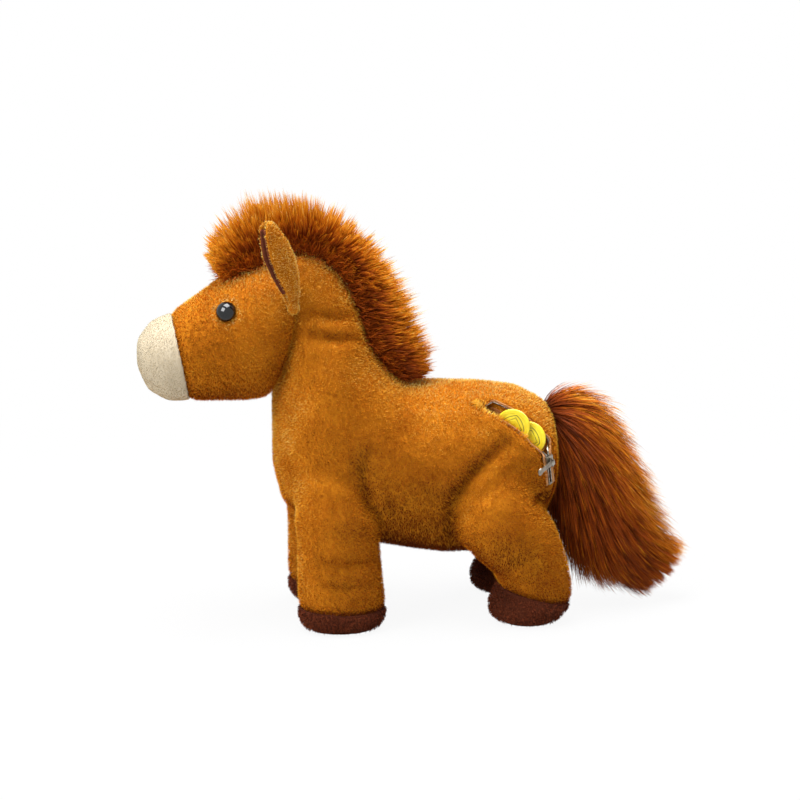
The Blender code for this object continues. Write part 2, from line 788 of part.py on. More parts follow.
def tail_strip(clearance):
    """The backing strip along the middle of the tail, from the dock down."""
    centres = [row.centre() for row in TAIL.rows[1:TAIL_BACKING_SECTIONS]]
    dock = dock_centre()
    start = (centres[0] - dock).normalized() * (DOCK_DIAMETER / 2 + GAP - 2 * clearance)
    centres = [dock + start] + centres
    half = Vector((0.0, TAIL_BACKING_WIDTH / 2 + clearance, 0.0))
    rings = []
    for k, centre in enumerate(centres):
        line = (centres[min(k + 1, len(centres) - 1)] - centres[max(k - 1, 0)]).normalized()
        if k == len(centres) - 1:
            centre = centre + line * clearance
        rise = Vector((-line.z, 0.0, line.x)) * (TAIL_BACKING / 2 + clearance)
        rings.append([centre + half + rise, centre - half + rise, centre - half - rise, centre + half - rise])
    return tube(rings)


def make_tail(parent):
    dock = dock_centre()
    piece("tail_dock", ball(dock, DOCK_DIAMETER / 2), parent, PLUSH_BROWN, origin=dock)
    fur = piece("tail_fur", TAIL.solid(), parent, FUR_BROWN, origin=dock)
    combine(fur, guide("dock_in_fur", ball(dock, DOCK_DIAMETER / 2 + GAP), parent),
            guide("strip_in_fur", tail_strip(GAP), parent))
    piece("tail_backing", tail_strip(0.0), parent, BACKING_TAN, origin=dock)


# Legs

def make_leg(parent, cutters, name, rows):
    hoof, leg = rows
    seam = hoof[-1].moved(UP * GAP)
    skin = Form([seam] + leg, LEG_POINTS, (0.0, LEG_TOP_BULGE))
    combine(piece(name + "_leg", skin.skin(), parent, PLUSH_BROWN), cutters["torso"])
    band = Form(hoof, LEG_POINTS, (0.0, 0.0))
    piece(name + "_hoof", band.skin(), parent, HOOF_BROWN)
    floor = hoof[0].moved(UP * -HOOF_RAISE)
    sole = Form([floor, floor.moved(UP * SOLE_THICKNESS)], LEG_POINTS, (0.0, 0.0))
    piece(name + "_sole", sole.solid(-SKIN - GAP), parent, HOOF_BROWN)
    rise = SOLE_THICKNESS + GAP - HOOF_RAISE
    start = hoof[0].toward(hoof[1], rise / (hoof[1].first.z - hoof[0].first.z))
    core = Form([start] + hoof[1:] + leg, LEG_POINTS, (0.0, LEG_TOP_BULGE))
    combine(piece(name + "_leg_stuffing", core.solid(-SKIN - GAP), parent, STUFFING_WHITE), cutters["torso"])


# Zip

def smooth(share):
    share = min(max(share, 0.0), 1.0)
    return share * share * (3 - 2 * share)


class Track:
    """The zip's line on the left flank. Distances run from the slider, downward positive."""

    def __init__(self):
        samples = []
        for k in range(TRACK_SAMPLES + 1):
            share = k / TRACK_SAMPLES
            place = [low * (1 - share) ** 2 + pull * 2 * share * (1 - share) + high * share ** 2
                     for low, pull, high in zip(ZIP_SLIDER_SHARE, ZIP_BEND_SHARE, ZIP_UPPER_SHARE)]
            samples.append(BODY.surface(place[0], -radians(place[1])))
        self.samples = [self.average(samples, k) for k in range(len(samples))]
        self.reach = [0.0]
        for (point, _), (following, _) in zip(self.samples, self.samples[1:]):
            self.reach.append(self.reach[-1] + (following - point).length)
        self.start, normal = self.samples[0]
        lower = BODY.surface(ZIP_LOWER_SHARE[0], -radians(ZIP_LOWER_SHARE[1]))[0]
        self.along = (lower - self.start).normalized()
        self.out = (normal - self.along * normal.dot(self.along)).normalized()

    def average(self, samples, k):
        """Point and normal at a sample, evened out over its neighbours."""
        reach = min(TRACK_EVENED, k, len(samples) - 1 - k)
        near = samples[k - reach:k + reach + 1]
        return tuple(sum(values, Vector()) / len(near) for values in zip(*near))

    def on_surface(self, distance):
        back = min(max(-distance, 0.0), self.reach[-1])
        k = 0
        while k < len(self.reach) - 2 and self.reach[k + 1] < back:
            k += 1
        share = (back - self.reach[k]) / (self.reach[k + 1] - self.reach[k])
        (point, normal), (following, next_normal) = self.samples[k:k + 2]
        return point.lerp(following, share), normal.lerp(next_normal, share)

    def straightness(self, distance):
        return smooth((distance + TRACK_BEND_START) / (TRACK_BEND_START - TRACK_BEND_END))

    def point(self, distance):
        return self.on_surface(distance)[0].lerp(self.start + self.along * distance, self.straightness(distance))

    def frame(self, distance):
        """Point, direction along the zip, direction across it (up) and direction out."""
        along = (self.point(distance + TRACK_STEP) - self.point(distance - TRACK_STEP)).normalized()
        out = self.on_surface(distance)[1].lerp(self.out, self.straightness(distance))
        out = (out - along * out.dot(along)).normalized()
        return self.point(distance), along, out.cross(along), out


TRACK = Track()
ROW_HALF = SLIDER_POST / 2 + GAP
SEWN_GAP = GAP + (TEETH_HEIGHT - TAPE_THICKNESS) / 2
CLOSED_HALF = ROW_HALF + TEETH_WIDTH + GAP + TAPE_WIDTH + SEWN_GAP


def opening(distance):
    """How far the zip is open at a distance from the slider, 0 to 1."""
    return smooth((-distance - SLIDER_LENGTH / 2) / MOUTH_FADE)


def lip(distance, side):
    """The edge of the slot on one side of the zip's line, 1 above it and -1 below."""
    opened = opening(distance)
    width = smooth((distance + MOUTH_LENGTH) / MOUTH_TAPER)
    half = CLOSED_HALF + (MOUTH_HALF - CLOSED_HALF) * opened
    half = MOUTH_END_HALF + (half - MOUTH_END_HALF) * width
    return MOUTH_RISE * opened * width + side * half


def stations(start, end):
    """Distances half a tooth pitch apart, the same ones for all parts of the zip, and both ends."""
    length = MOUTH_LENGTH + CLOSED_LENGTH
    count = round(length / (TOOTH_PITCH / 2))
    inner = [length * k / count - MOUTH_LENGTH for k in range(1, count)]
    return [start] + [distance for distance in inner if distance < end - GAP] + [end]


def slot():
    rings = []
    for distance in stations(-MOUTH_LENGTH, CLOSED_LENGTH + GAP):
        point, _, across, out = TRACK.frame(distance)
        corners = rectangle((lip(distance, -1), -SLOT_DEPTH), (lip(distance, 1), OVERRUN))
        rings.append([point + across * a + out * o for a, o in corners])
    return tube(rings)


def tape_section(distance, side, start, width, thickness):
    """Corners of a strip on a tape, at a start and with a width measured from its sewn edge."""
    point, _, across, out = TRACK.frame(distance)
    fold = pi / 2 * (1 - opening(distance))
    reach = out * -cos(fold) - across * side * sin(fold)
    rise = across * -side * cos(fold) + out * sin(fold)
    sewn = point + across * (lip(distance, side) - side * SEWN_GAP)
    sewn -= out * (GAP * cos(fold) + (ZIP_SINK + TAPE_THICKNESS / 2) * sin(fold))
    middle = sewn + rise * TAPE_THICKNESS / 2
    return [middle + reach * (start + width * w) + rise * thickness * (t - 1 / 2)
            for w, t in ((0, 0), (1, 0), (1, 1), (0, 1))]


def make_zip(parent):
    end = CLOSED_LENGTH - STOP_LENGTH - GAP
    for name, side in (("upper", 1), ("lower", -1)):
        tape = tube([tape_section(d, side, 0.0, TAPE_WIDTH, TAPE_THICKNESS)
                     for d in stations(GAP - MOUTH_LENGTH, CLOSED_LENGTH)])
        piece("zip_tape_" + name, tape, parent, TAPE_TAN)
        comb = tube([tape_section(d, side, TAPE_WIDTH + GAP, TEETH_WIDTH - TOOTH_NOTCH * (k % 2), TEETH_HEIGHT)
                     for k, d in enumerate(stations(GAP - MOUTH_LENGTH, end))])
        piece("zip_teeth_" + name, comb, parent, METAL_GREY, 0.35, 1.0)
    height = (-ZIP_SINK - STOP_HEIGHT / 2, -ZIP_SINK + STOP_HEIGHT / 2)
    half = ROW_HALF + TEETH_WIDTH
    stop = prism(TRACK.frame(0.0), rectangle((-half, height[0]), (half, height[1])),
                 CLOSED_LENGTH - STOP_LENGTH, CLOSED_LENGTH)
    piece("zip_stop", stop, parent, METAL_GREY, 0.35, 1.0)


def slider_outline():
    """Two plates joined by a post, with room for both rows of teeth."""
    half = SLIDER_WIDTH / 2
    post = SLIDER_POST / 2
    inner = TEETH_HEIGHT / 2 + GAP
    outer = inner + SLIDER_PLATE
    side = [(post, -inner), (half, -inner), (half, -outer)]
    outline = side + [(-a, o) for a, o in reversed(side)]
    outline += [(-a, -o) for a, o in side] + [(a, -o) for a, o in reversed(side)]
    return [(a, o - ZIP_SINK) for a, o in outline]


def slider_top():
    return TEETH_HEIGHT / 2 + GAP + SLIDER_PLATE - ZIP_SINK


def pull_axis():
    """The point on the bridge's bar that the pull swings about."""
    point, _, _, out = TRACK.frame(0.0)
    return point + out * (slider_top() + BRIDGE_OPENING + BRIDGE_BAR / 2)


def make_slider(parent):
    point, along, across, out = TRACK.frame(0.0)
    slider = piece("zip_slider", prism((point, along, across, out), slider_outline(), -SLIDER_LENGTH / 2,
                                       SLIDER_LENGTH / 2), parent, METAL_GREY, 0.3, 1.0, point)
    inner = BRIDGE_LENGTH / 2 - BRIDGE_BAR
    outer = BRIDGE_LENGTH / 2
    base = slider_top() - SLIDER_PLATE / 2
    under = slider_top() + BRIDGE_OPENING
    arch = [(-outer, base), (-inner, base), (-inner, under), (inner, under), (inner, base), (outer, base),
            (outer, under + BRIDGE_BAR), (-outer, under + BRIDGE_BAR)]
    bridge = prism((point, across, along, out), arch, -BRIDGE_BAR / 2, BRIDGE_BAR / 2)
    combine(slider, guide("slider_bridge", bridge, parent), operation="UNION")

    axis = pull_axis()
    bore = PULL_RING_BORE / 2
    wall = bore + PULL_RING_WALL
    half = PULL_RING_WIDTH / 2
    pull = piece("zip_pull", turned_ring([(bore, -half), (wall, -half), (wall, half), (bore, half)], axis, along),
                 parent, METAL_GREY, 0.3, 1.0, axis)
    tilt = radians(PULL_TILT_DEGREES)
    hang = across * -cos(tilt) + out * sin(tilt)
    face = out * cos(tilt) + across * sin(tilt)
    start = bore + PULL_RING_WALL / 2
    tab = prism((axis, hang, along, face),
                rectangle((-PULL_WIDTH / 2, -PULL_THICKNESS / 2), (PULL_WIDTH / 2, PULL_THICKNESS / 2)),
                start, PULL_LENGTH - PULL_BULB / 2)
    bulb = turned([(wide * PULL_BULB / 2, high * PULL_BULB_THICKNESS / 2) for wide, high in BULB_SHARES],
                  axis + hang * (PULL_LENGTH - PULL_BULB / 2), face)
    combine(pull, guide("pull_tab", tab, parent), guide("pull_bulb", bulb, parent), operation="UNION")


# Coins and pouch

def coin_place(distance):
    point, _, across, out = TRACK.frame(distance)
    return point - across * COIN_LEAN - out * COIN_SINK


def coin_frame():
    """The front coin's centre, and the directions along the zip, up the coins and off their faces."""
    _, along, across, out = TRACK.frame(-COIN_FROM_SLIDER - COIN_PITCH / 2)
    tilt = radians(COIN_TILT_DEGREES)
    rise = across * cos(tilt) + out * sin(tilt)
    face = out * cos(tilt) - across * sin(tilt)
    return coin_place(-COIN_FROM_SLIDER - COIN_PITCH), along, rise, face


def coin_step():
    """The way from the front coin to the back one: along the zip, up the coins and off their faces."""
    front, along, rise, _ = coin_frame()
    way = coin_place(-COIN_FROM_SLIDER) - front
    return way.dot(along), way.dot(rise), -COIN_THICKNESS - COIN_GAP


def coin_centres():
    front, *directions = coin_frame()
    return front, front + sum((way * length for way, length in zip(directions, coin_step())), Vector())


def make_coins(parent):
    half = COIN_THICKNESS / 2
    radius = COIN_DIAMETER / 2
    inside = radius - COIN_RIM
    flat = half - COIN_RIM_HEIGHT
    profile = [(inside, -flat), (inside, -half), (radius, -half), (radius, half), (inside, half), (inside, flat)]
    for name, centre in zip(("coin_front", "coin_back"), coin_centres()):
        piece(name, turned(profile, centre, coin_frame()[3], COIN_POINTS), parent, COIN_YELLOW, 0.4,
              origin=centre)


def pouch_block(grow, top):
    """The pouch's space, or its outside where grow is the wall, up to a height above the front coin."""
    step = coin_step()
    start = -COIN_DIAMETER / 2 - POUCH_FRONT_END - grow
    end = step[0] + COIN_DIAMETER / 2 + POUCH_SLIDER_END + grow
    floor = min(step[1], 0.0) - COIN_DIAMETER / 2 - GAP - grow
    back = step[2] - COIN_THICKNESS / 2 - POUCH_PLAY - grow
    front = COIN_THICKNESS / 2 + POUCH_PLAY + grow
    return prism(coin_frame(), rectangle((floor, back), (top, front)), start, end)


def make_pouch(parent, cutters):
    top = COIN_DIAMETER
    lining = piece("pocket_lining", pouch_block(POUCH_WALL, top), parent, TAPE_TAN)
    combine(lining, guide("pouch_space", pouch_block(0.0, top + OVERRUN), parent))
    combine(lining, guide("torso_inside", BODY.solid(-SKIN - GAP), parent), operation="INTERSECT")
    combine(lining, cutters["slot"])


# Assembly

def middle_shift():
    """The way from the middle of the overall length to the body's own reference point."""
    rings = HEAD_WITH_MUZZLE.rings()[0] + [[HEAD_WITH_MUZZLE.cap(0, 0.0)[1]]]
    rings += TAIL.rings()[0] + [[TAIL.cap(1, 0.0)[1]]]
    places = [point.x for ring in rings for point in ring]
    return -(min(places) + max(places)) / 2


def main():
    clear_scene()
    parent = bpy.data.objects.new("part_origin", None)
    parent.location.x = middle_shift()
    bpy.context.scene.collection.objects.link(parent)
    cutters = {
        "torso": guide("torso_cutter", BODY.solid(GAP), parent),
        "head": guide("head_cutter", HEAD_WITH_MUZZLE.solid(GAP), parent),
        "slot": guide("zip_slot", slot(), parent),
        "pouch_seat": guide("pouch_seat", pouch_block(POUCH_WALL + GAP, COIN_DIAMETER + OVERRUN), parent),
        "dock_seat": guide("dock_seat", ball(dock_centre(), DOCK_DIAMETER / 2 + DOCK_CLEARANCE), parent),
    }
    for name, side in SIDES:
        cutters[name + "_ear_seat"] = guide(name + "_ear_seat", ear_roll(side, EAR_ROLL_CLEARANCE), parent)
    make_torso(parent, cutters)
    make_head(parent, cutters)
    make_ears(parent)
    make_mane(parent, cutters)
    make_tail(parent)
    for name, side in SIDES:
        make_leg(parent, cutters, "front_" + name, front_leg(side))
        make_leg(parent, cutters, "hind_" + name, hind_leg(side))
    make_zip(parent)
    make_slider(parent)
    make_coins(parent)
    make_pouch(parent, cutters)


main()
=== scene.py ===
"""The plush horse with a zip pocket: soft forms, pile, long fur, materials, light and camera."""
import math

import bmesh
import bpy
import numpy as np
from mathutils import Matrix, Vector
from mathutils.bvhtree import BVHTree


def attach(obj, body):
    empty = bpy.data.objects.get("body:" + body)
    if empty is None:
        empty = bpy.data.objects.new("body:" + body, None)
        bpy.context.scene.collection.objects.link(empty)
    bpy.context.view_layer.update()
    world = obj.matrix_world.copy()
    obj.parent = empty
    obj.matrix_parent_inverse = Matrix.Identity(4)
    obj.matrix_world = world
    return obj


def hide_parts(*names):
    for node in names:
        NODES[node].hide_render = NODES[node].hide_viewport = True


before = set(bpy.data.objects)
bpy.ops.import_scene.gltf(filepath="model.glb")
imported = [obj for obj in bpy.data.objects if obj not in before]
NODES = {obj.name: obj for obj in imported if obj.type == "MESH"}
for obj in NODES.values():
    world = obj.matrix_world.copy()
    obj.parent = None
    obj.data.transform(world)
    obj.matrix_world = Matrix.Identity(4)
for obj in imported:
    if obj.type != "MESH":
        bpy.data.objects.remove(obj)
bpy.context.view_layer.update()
MM = 0.001
WHITE = (1, 1, 1, 1)


def linked(name, data):
    """A new object in the scene."""
    made = bpy.data.objects.new(name, data)
    bpy.context.scene.collection.objects.link(made)
    return made


# camera, as the photograph sees the horse
IMAGE_SIDE = 800
PIXEL = 0.70 * MM
TARGET = Vector((-0.0100, 0, 0.1524))
AZIMUTH = math.radians(-8)
ELEVATION = math.radians(12)
DISTANCE = 1.6
SENSOR = 36.0
BACK = Vector((
    math.sin(AZIMUTH) * math.cos(ELEVATION),
    -math.cos(AZIMUTH) * math.cos(ELEVATION),
    math.sin(ELEVATION),
))
camera_data = bpy.data.cameras.new("camera")
camera_data.sensor_width = SENSOR
camera_data.lens = SENSOR * DISTANCE / (IMAGE_SIDE * PIXEL)
camera = linked("camera", camera_data)
camera.location = TARGET + BACK * DISTANCE
camera.rotation_mode = "QUATERNION"
camera.rotation_quaternion = (-BACK).to_track_quat("-Z", "Y")
bpy.context.scene.camera = camera
RIGHT = camera.rotation_quaternion @ Vector((1, 0, 0))
UP = camera.rotation_quaternion @ Vector((0, 1, 0))


def sight(px, py):
    """The direction in which a place of the photograph is seen."""
    half = IMAGE_SIDE / 2
    across = RIGHT * ((px - half) * PIXEL) + UP * ((half - py) * PIXEL)
    return (across - BACK * DISTANCE).normalized()


# light
SKY_LIGHT = 0.34


def lamp(name, place, size, power):
    """A soft square lamp that faces the horse."""
    data = bpy.data.lights.new(name, "AREA")
    data.energy = power
    data.size = size
    made = linked(name, data)
    made.location = place
    made.rotation_mode = "QUATERNION"
    made.rotation_quaternion = (TARGET - Vector(place)).to_track_quat("-Z", "Y")


def looked_along(tree):
    """1 for rays that look, and 0 for rays that carry light."""
    path = tree.nodes.new("ShaderNodeLightPath")
    found = path.outputs["Is Camera Ray"]
    for kind in ("Is Glossy Ray", "Is Transmission Ray"):
        either = tree.nodes.new("ShaderNodeMath")
        either.operation = "MAXIMUM"
        tree.links.new(found, either.inputs[0])
        tree.links.new(path.outputs[kind], either.inputs[1])
        found = either.outputs[0]
    return found


def with_inputs(node, **values):
    """The node with these inputs set."""
    for socket, value in values.items():
        node.inputs[socket.replace("_", " ")].default_value = value
    return node


def mix_shaders(tree, factor, first, second, output):
    """Shows the first shader where the factor is 0 and the second where it is 1."""
    mixed = tree.nodes.new("ShaderNodeMixShader")
    tree.links.new(factor, mixed.inputs["Fac"])
    tree.links.new(first.outputs[0], mixed.inputs[1])
    tree.links.new(second.outputs[0], mixed.inputs[2])
    tree.links.new(mixed.outputs[0], tree.nodes[output].inputs["Surface"])


lamp("key", (-1.25, -0.85, 1.25), 0.8, 25)
lamp("top", (-0.15, -0.1, 1.6), 1.0, 40)
lamp("rim", (0.9, 0.8, 0.9), 0.8, 9)
world = bpy.data.worlds.new("studio")
bpy.context.scene.world = world
world.use_nodes = True
sky_tree = world.node_tree
sky = with_inputs(sky_tree.nodes["Background"], Strength=SKY_LIGHT, Color=WHITE)
backdrop = with_inputs(sky_tree.nodes.new("ShaderNodeBackground"), Strength=1.0, Color=WHITE)
mix_shaders(sky_tree, looked_along(sky_tree), sky, backdrop, "World Output")
bpy.context.scene.view_settings.view_transform = "Standard"


# how materials are made
def colour(red, green, blue):
    """A colour written as 0 to 255 per channel, as shaders take it."""
    parts = [c / 255 for c in (red, green, blue)]
    return tuple(c / 12.92 if c <= 0.04045 else ((c + 0.055) / 1.055) ** 2.4 for c in parts) + (1,)


def stops(*rows):
    """The stops of a ramp, each row a place and its red, green and blue."""
    return [(at, colour(*tint)) for at, *tint in rows]


class Finish:
    """A node material that is built up from its shader."""

    def __init__(self, name, roughness, **sockets):
        self.material = bpy.data.materials.new(name)
        self.material.use_nodes = True
        self.tree = self.material.node_tree
        self.shader = with_inputs(self.tree.nodes["Principled BSDF"], Roughness=roughness, **sockets)
        self.place = self.node("TexCoord").outputs["Object"]

    def node(self, kind, **values):
        """A new node of the material with these inputs set."""
        return with_inputs(self.tree.nodes.new(f"ShaderNode{kind}"), **values)

    def link(self, source, target):
        self.tree.links.new(source, target)

    def noise(self, scale, detail=2.0, rough=0.5):
        """Noise over the object's own space."""
        node = self.node("TexNoise", Scale=scale, Detail=detail, Roughness=rough)
        self.link(self.place, node.inputs["Vector"])
        return node.outputs["Fac"]

    def value(self, name):
        """A number kept on the mesh's points."""
        node = self.node("Attribute")
        node.attribute_name = name
        return node.outputs["Fac"]

    def math(self, operation, first, second):
        """One operation on two outputs or numbers."""
        node = self.node("Math")
        node.operation = operation
        for socket, source in zip(node.inputs, (first, second)):
            if isinstance(source, (int, float)):
                socket.default_value = source
            else:
                self.link(source, socket)
        return node.outputs[0]

    def sum_of(self, first, second, share):
        """The first by its share and the second by the rest."""
        return self.math("ADD", self.math("MULTIPLY", first, share), self.math("MULTIPLY", second, 1 - share))

    def ramp(self, factor, rows):
        """Colours along a factor, each at its place."""
        node = self.node("ValToRGB")
        elements = node.color_ramp.elements
        while len(elements) < len(rows):
            elements.new(0.5)
        for element, (at, tint) in zip(elements, rows):
            element.position = at
            element.color = tint
        self.link(factor, node.inputs["Fac"])
        return node.outputs["Color"]

    def paint(self, source):
        """Gives the shader its colour."""
        self.link(source, self.shader.inputs["Base Color"])
        return self

    def bump(self, height, distance, strength=0.6):
        """Fine relief that is too small for the mesh."""
        node = self.node("Bump", Distance=distance, Strength=strength)
        self.link(height, node.inputs["Height"])
        self.link(node.outputs["Normal"], self.shader.inputs["Normal"])
        return self

    def rough(self, source, low, high):
        """Roughness that varies between two values."""
        node = self.node("MapRange", To_Min=low, To_Max=high)
        self.link(source, node.inputs["Value"])
        self.link(node.outputs["Result"], self.shader.inputs["Roughness"])
        return self


def backing(name, slot, dark, light, scale, distance=0.6 * MM):
    """The cloth under a pile, or a fleece: mottled, soft and rough. Returns it with its slot."""
    made = Finish(name, 0.9, Specular_IOR_Level=0.1)
    mottle = made.sum_of(made.noise(scale, 4, 0.7), made.noise(scale / 9, 2), 0.65)
    made.paint(made.ramp(mottle, stops((0.3, *dark), (0.72, *light))))
    return made.bump(made.noise(scale, 3, 0.7), distance).material, slot


def fibre(name, slot, *rows, roughness=0.8):
    """A pile or fur whose colour runs with each strand's tone and drifts over the coat, with its slot."""
    made = Finish(name, roughness, Specular_IOR_Level=0.1)
    drift = made.math("MULTIPLY", made.math("SUBTRACT", made.noise(24, 2), 0.5), 0.3)
    tone = made.math("ADD", made.value("strand_tone"), drift)
    return made.paint(made.ramp(tone, stops(*rows))).material, slot


def mottled(name, roughness, scale, detail, rows, **sockets):
    """A smooth material whose colour drifts a little."""
    made = Finish(name, roughness, **sockets)
    return made.paint(made.ramp(made.noise(scale, detail), rows))


# brown plush of body, head, ears and dock
brown_cloth = backing("plush_brown_cloth", "plush_brown", (158, 84, 8), (200, 128, 24), 420)
brown_pile = fibre(
    "plush_brown_pile", "plush_brown",
    (0.0, 92, 36, 2), (0.2, 156, 74, 4), (0.45, 206, 121, 11),
    (0.66, 224, 162, 44), (0.85, 230, 192, 90), (1.0, 236, 214, 140),
)

# cream plush of the muzzle
cream_cloth = backing("plush_cream_cloth", "plush_cream", (186, 170, 142), (194, 182, 160), 520, 0.1 * MM)
cream_pile = fibre(
    "plush_cream_pile", "plush_cream",
    (0.0, 206, 166, 118), (0.3, 192, 172, 138), (0.6, 190, 182, 160), (1.0, 196, 190, 174),
)

# dark plush of the hooves and the cloth under them
hoof_cloth = backing("hoof_cloth", "hoof_brown", (52, 22, 12), (98, 48, 28), 480)
hoof_pile = fibre("hoof_pile", "hoof_brown", (0.0, 56, 20, 10), (0.5, 104, 46, 24), (1.0, 156, 86, 54))
sole_cloth = backing("sole_cloth", "hoof_brown", (44, 20, 12), (78, 40, 26), 900, 0.3 * MM)

# long two-tone fur of mane and tail
fur_core = backing("fur_core", "long_fur", (34, 12, 4), (74, 28, 8), 300)
long_fur = fibre(
    "two_tone_fur", "long_fur",
    (0.0, 72, 26, 4), (0.3, 150, 64, 7), (0.55, 206, 116, 13), (0.8, 236, 164, 38), (1.0, 246, 204, 108),
    roughness=0.6,
)

# ear linings and the pocket's pouch
lining_cloth = backing("ear_lining_cloth", "ear_lining", (58, 26, 20), (128, 66, 40), 600, 0.4 * MM)
pouch_cloth = backing("pouch_cloth", "zip_tape", (120, 70, 34), (176, 112, 60), 700, 0.3 * MM)

# black glossy eyes and the washers behind them
eye_black = mottled("eye_black", 0.04, 60, 2, stops((0.3, 3, 5, 7), (0.8, 8, 11, 14)), Specular_IOR_Level=0.5)
eye_black.rough(eye_black.noise(300, 2), 0.03, 0.09)
washer_plastic = mottled("washer_plastic", 0.5, 300, 2, stops((0.3, 206, 204, 198), (0.7, 236, 234, 228)))
washer_plastic.bump(washer_plastic.noise(900, 2), 0.05 * MM, 0.3)

# woven tape of the zip
tape = Finish("zip_tape_weave", 0.85, Sheen_Weight=0.3)
weave = tape.node("TexWave", Scale=520, Distortion=1.5)
tape.link(tape.place, weave.inputs["Vector"])
tape_mottle = tape.sum_of(weave.outputs["Fac"], tape.noise(200, 3), 0.5)
tape.paint(tape.ramp(tape_mottle, stops((0.2, 176, 104, 44), (0.8, 220, 158, 88))))
tape.bump(weave.outputs["Fac"], 0.3 * MM)

# worn metal of teeth, stop, slider and pull
metal = mottled("zip_metal", 0.32, 240, 4, stops((0.25, 120, 112, 100), (0.75, 196, 190, 178)), Metallic=1.0)
metal.rough(metal.noise(500, 3), 0.22, 0.46).bump(metal.noise(900, 2), 0.04 * MM, 0.3)

# yellow coins with dark lines
coin_yellows = stops((0.3, 232, 204, 10), (0.7, 250, 232, 40))
coin_paint = mottled("coin_yellow", 0.42, 160, 3, coin_yellows, Coat_Weight=0.15)
coin_paint.rough(coin_paint.noise(420, 3), 0.34, 0.52).bump(coin_paint.noise(700, 2), 0.05 * MM, 0.4)
coin_ink = mottled("coin_line", 0.6, 500, 2, stops((0.3, 70, 66, 14), (0.7, 104, 98, 24)))

# floor: it takes the horse's shadow, and fades into the white backdrop away from it
FLOOR_HALF = 6.0
FLOOR_DROP = 0.3 * MM
FLOOR_GREYS = [(0.0, (0.50, 0.50, 0.50, 1)), (1.0, (0.54, 0.54, 0.54, 1))]
paper = mottled("floor", 0.9, 6, 2, FLOOR_GREYS)
far_out = paper.node("VectorMath")
far_out.operation = "LENGTH"
paper.link(paper.place, far_out.inputs[0])
fade = paper.node("MapRange", From_Min=0.22, From_Max=0.75, To_Min=0.93, To_Max=1.0)
paper.link(far_out.outputs["Value"], fade.inputs["Value"])
glow = paper.node("Emission", Strength=1.0)
shown = paper.math("MULTIPLY", looked_along(paper.tree), fade.outputs["Result"])
mix_shaders(paper.tree, shown, paper.shader, glow, "Material Output")
floor_mesh = bpy.data.meshes.new("floor")
floor_corners = [(x * FLOOR_HALF, y * FLOOR_HALF, 0) for x, y in ((-1, -1), (1, -1), (1, 1), (-1, 1))]
floor_mesh.from_pydata(floor_corners, [], [(0, 1, 2, 3)])
floor_mesh.materials.append(paper.material)
floor = linked("floor", floor_mesh)
floor.location.z = -FLOOR_DROP


# mesh tools
def points_of(mesh):
    """The mesh's points and their normals as arrays."""
    found = []
    for kind in ("co", "normal"):
        values = np.empty(len(mesh.vertices) * 3)
        mesh.vertices.foreach_get(kind, values)
        found.append(values.reshape(-1, 3))
    return found


def set_points(mesh, places):
    mesh.vertices.foreach_set("co", places.astype(np.float32).ravel())
    mesh.update()


def unit(arrows):
    """The arrows at length 1."""
    return arrows / np.maximum(np.linalg.norm(arrows, axis=-1, keepdims=True), 1e-9)


def between(first, second, share):
    """The first by the rest of the share, and the second by the share."""
    return first * (1 - share) + second * share


def bell(gap, width):
    """1 in the middle, falling off over a width."""
    return np.exp(-((gap / width) ** 2))


def tree_of(mesh):
    """A search tree over the mesh's faces."""
    return BVHTree.FromPolygons([v.co for v in mesh.vertices], [face.vertices for face in mesh.polygons])


def to_line(places, line):
    """How far each point is from a line of points, and the place along it as a share."""
    line = np.asarray(line)
    best = np.full(len(places), np.inf)
    where = np.zeros(len(places))
    for step, (start, end) in enumerate(zip(line[:-1], line[1:])):
        span = end - start
        share = np.clip(((places - start) @ span) / (span @ span), 0, 1)
        gap = np.linalg.norm(places - start - share[:, None] * span, axis=1)
        nearer = gap < best
        best[nearer] = gap[nearer]
        where[nearer] = (step + share[nearer]) / (len(line) - 1)
    return best, where


def gap_to(places, line):
    """How far each point is from a line of points."""
    return to_line(places, line)[0]


def nearest_in(places, line):
    """Which point of a line is nearest to each place."""
    return np.linalg.norm(places[:, None] - line[None], axis=2).argmin(1)


def waves(places, size, seed):
    """A smooth random field between about -1 and 1, whose features have the given size."""
    count = 7
    draw = np.random.default_rng(seed)
    heading = unit(draw.normal(size=(count, 3)))
    pace = (math.tau / size) * draw.uniform(0.7, 1.4, count)
    start = draw.uniform(0, math.tau, count)
    return np.sin((places @ heading.T) * pace + start).sum(1) * (1.6 / count)


# soft forms
def island_of(start, seen):
    """The points that hang together with the first one."""
    island = []
    waiting = [start]
    seen.add(start.index)
    while waiting:
        point = waiting.pop()
        island.append(point)
        for edge in point.link_edges:
            other = edge.other_vert(point)
            if other.index not in seen:
                seen.add(other.index)
                waiting.append(other)
    return island


def outer_islands(mesh, kept):
    """Deletes every island of the mesh but the largest ones, such as the walls of a hollow."""
    form = bmesh.new()
    form.from_mesh(mesh)
    seen = set()
    islands = [island_of(point, seen) for point in form.verts if point.index not in seen]
    islands.sort(key=len, reverse=True)
    gone = [point for island in islands[kept:] for point in island]
    bmesh.ops.delete(form, geom=gone, context="VERTS")
    form.to_mesh(mesh)
    form.free()


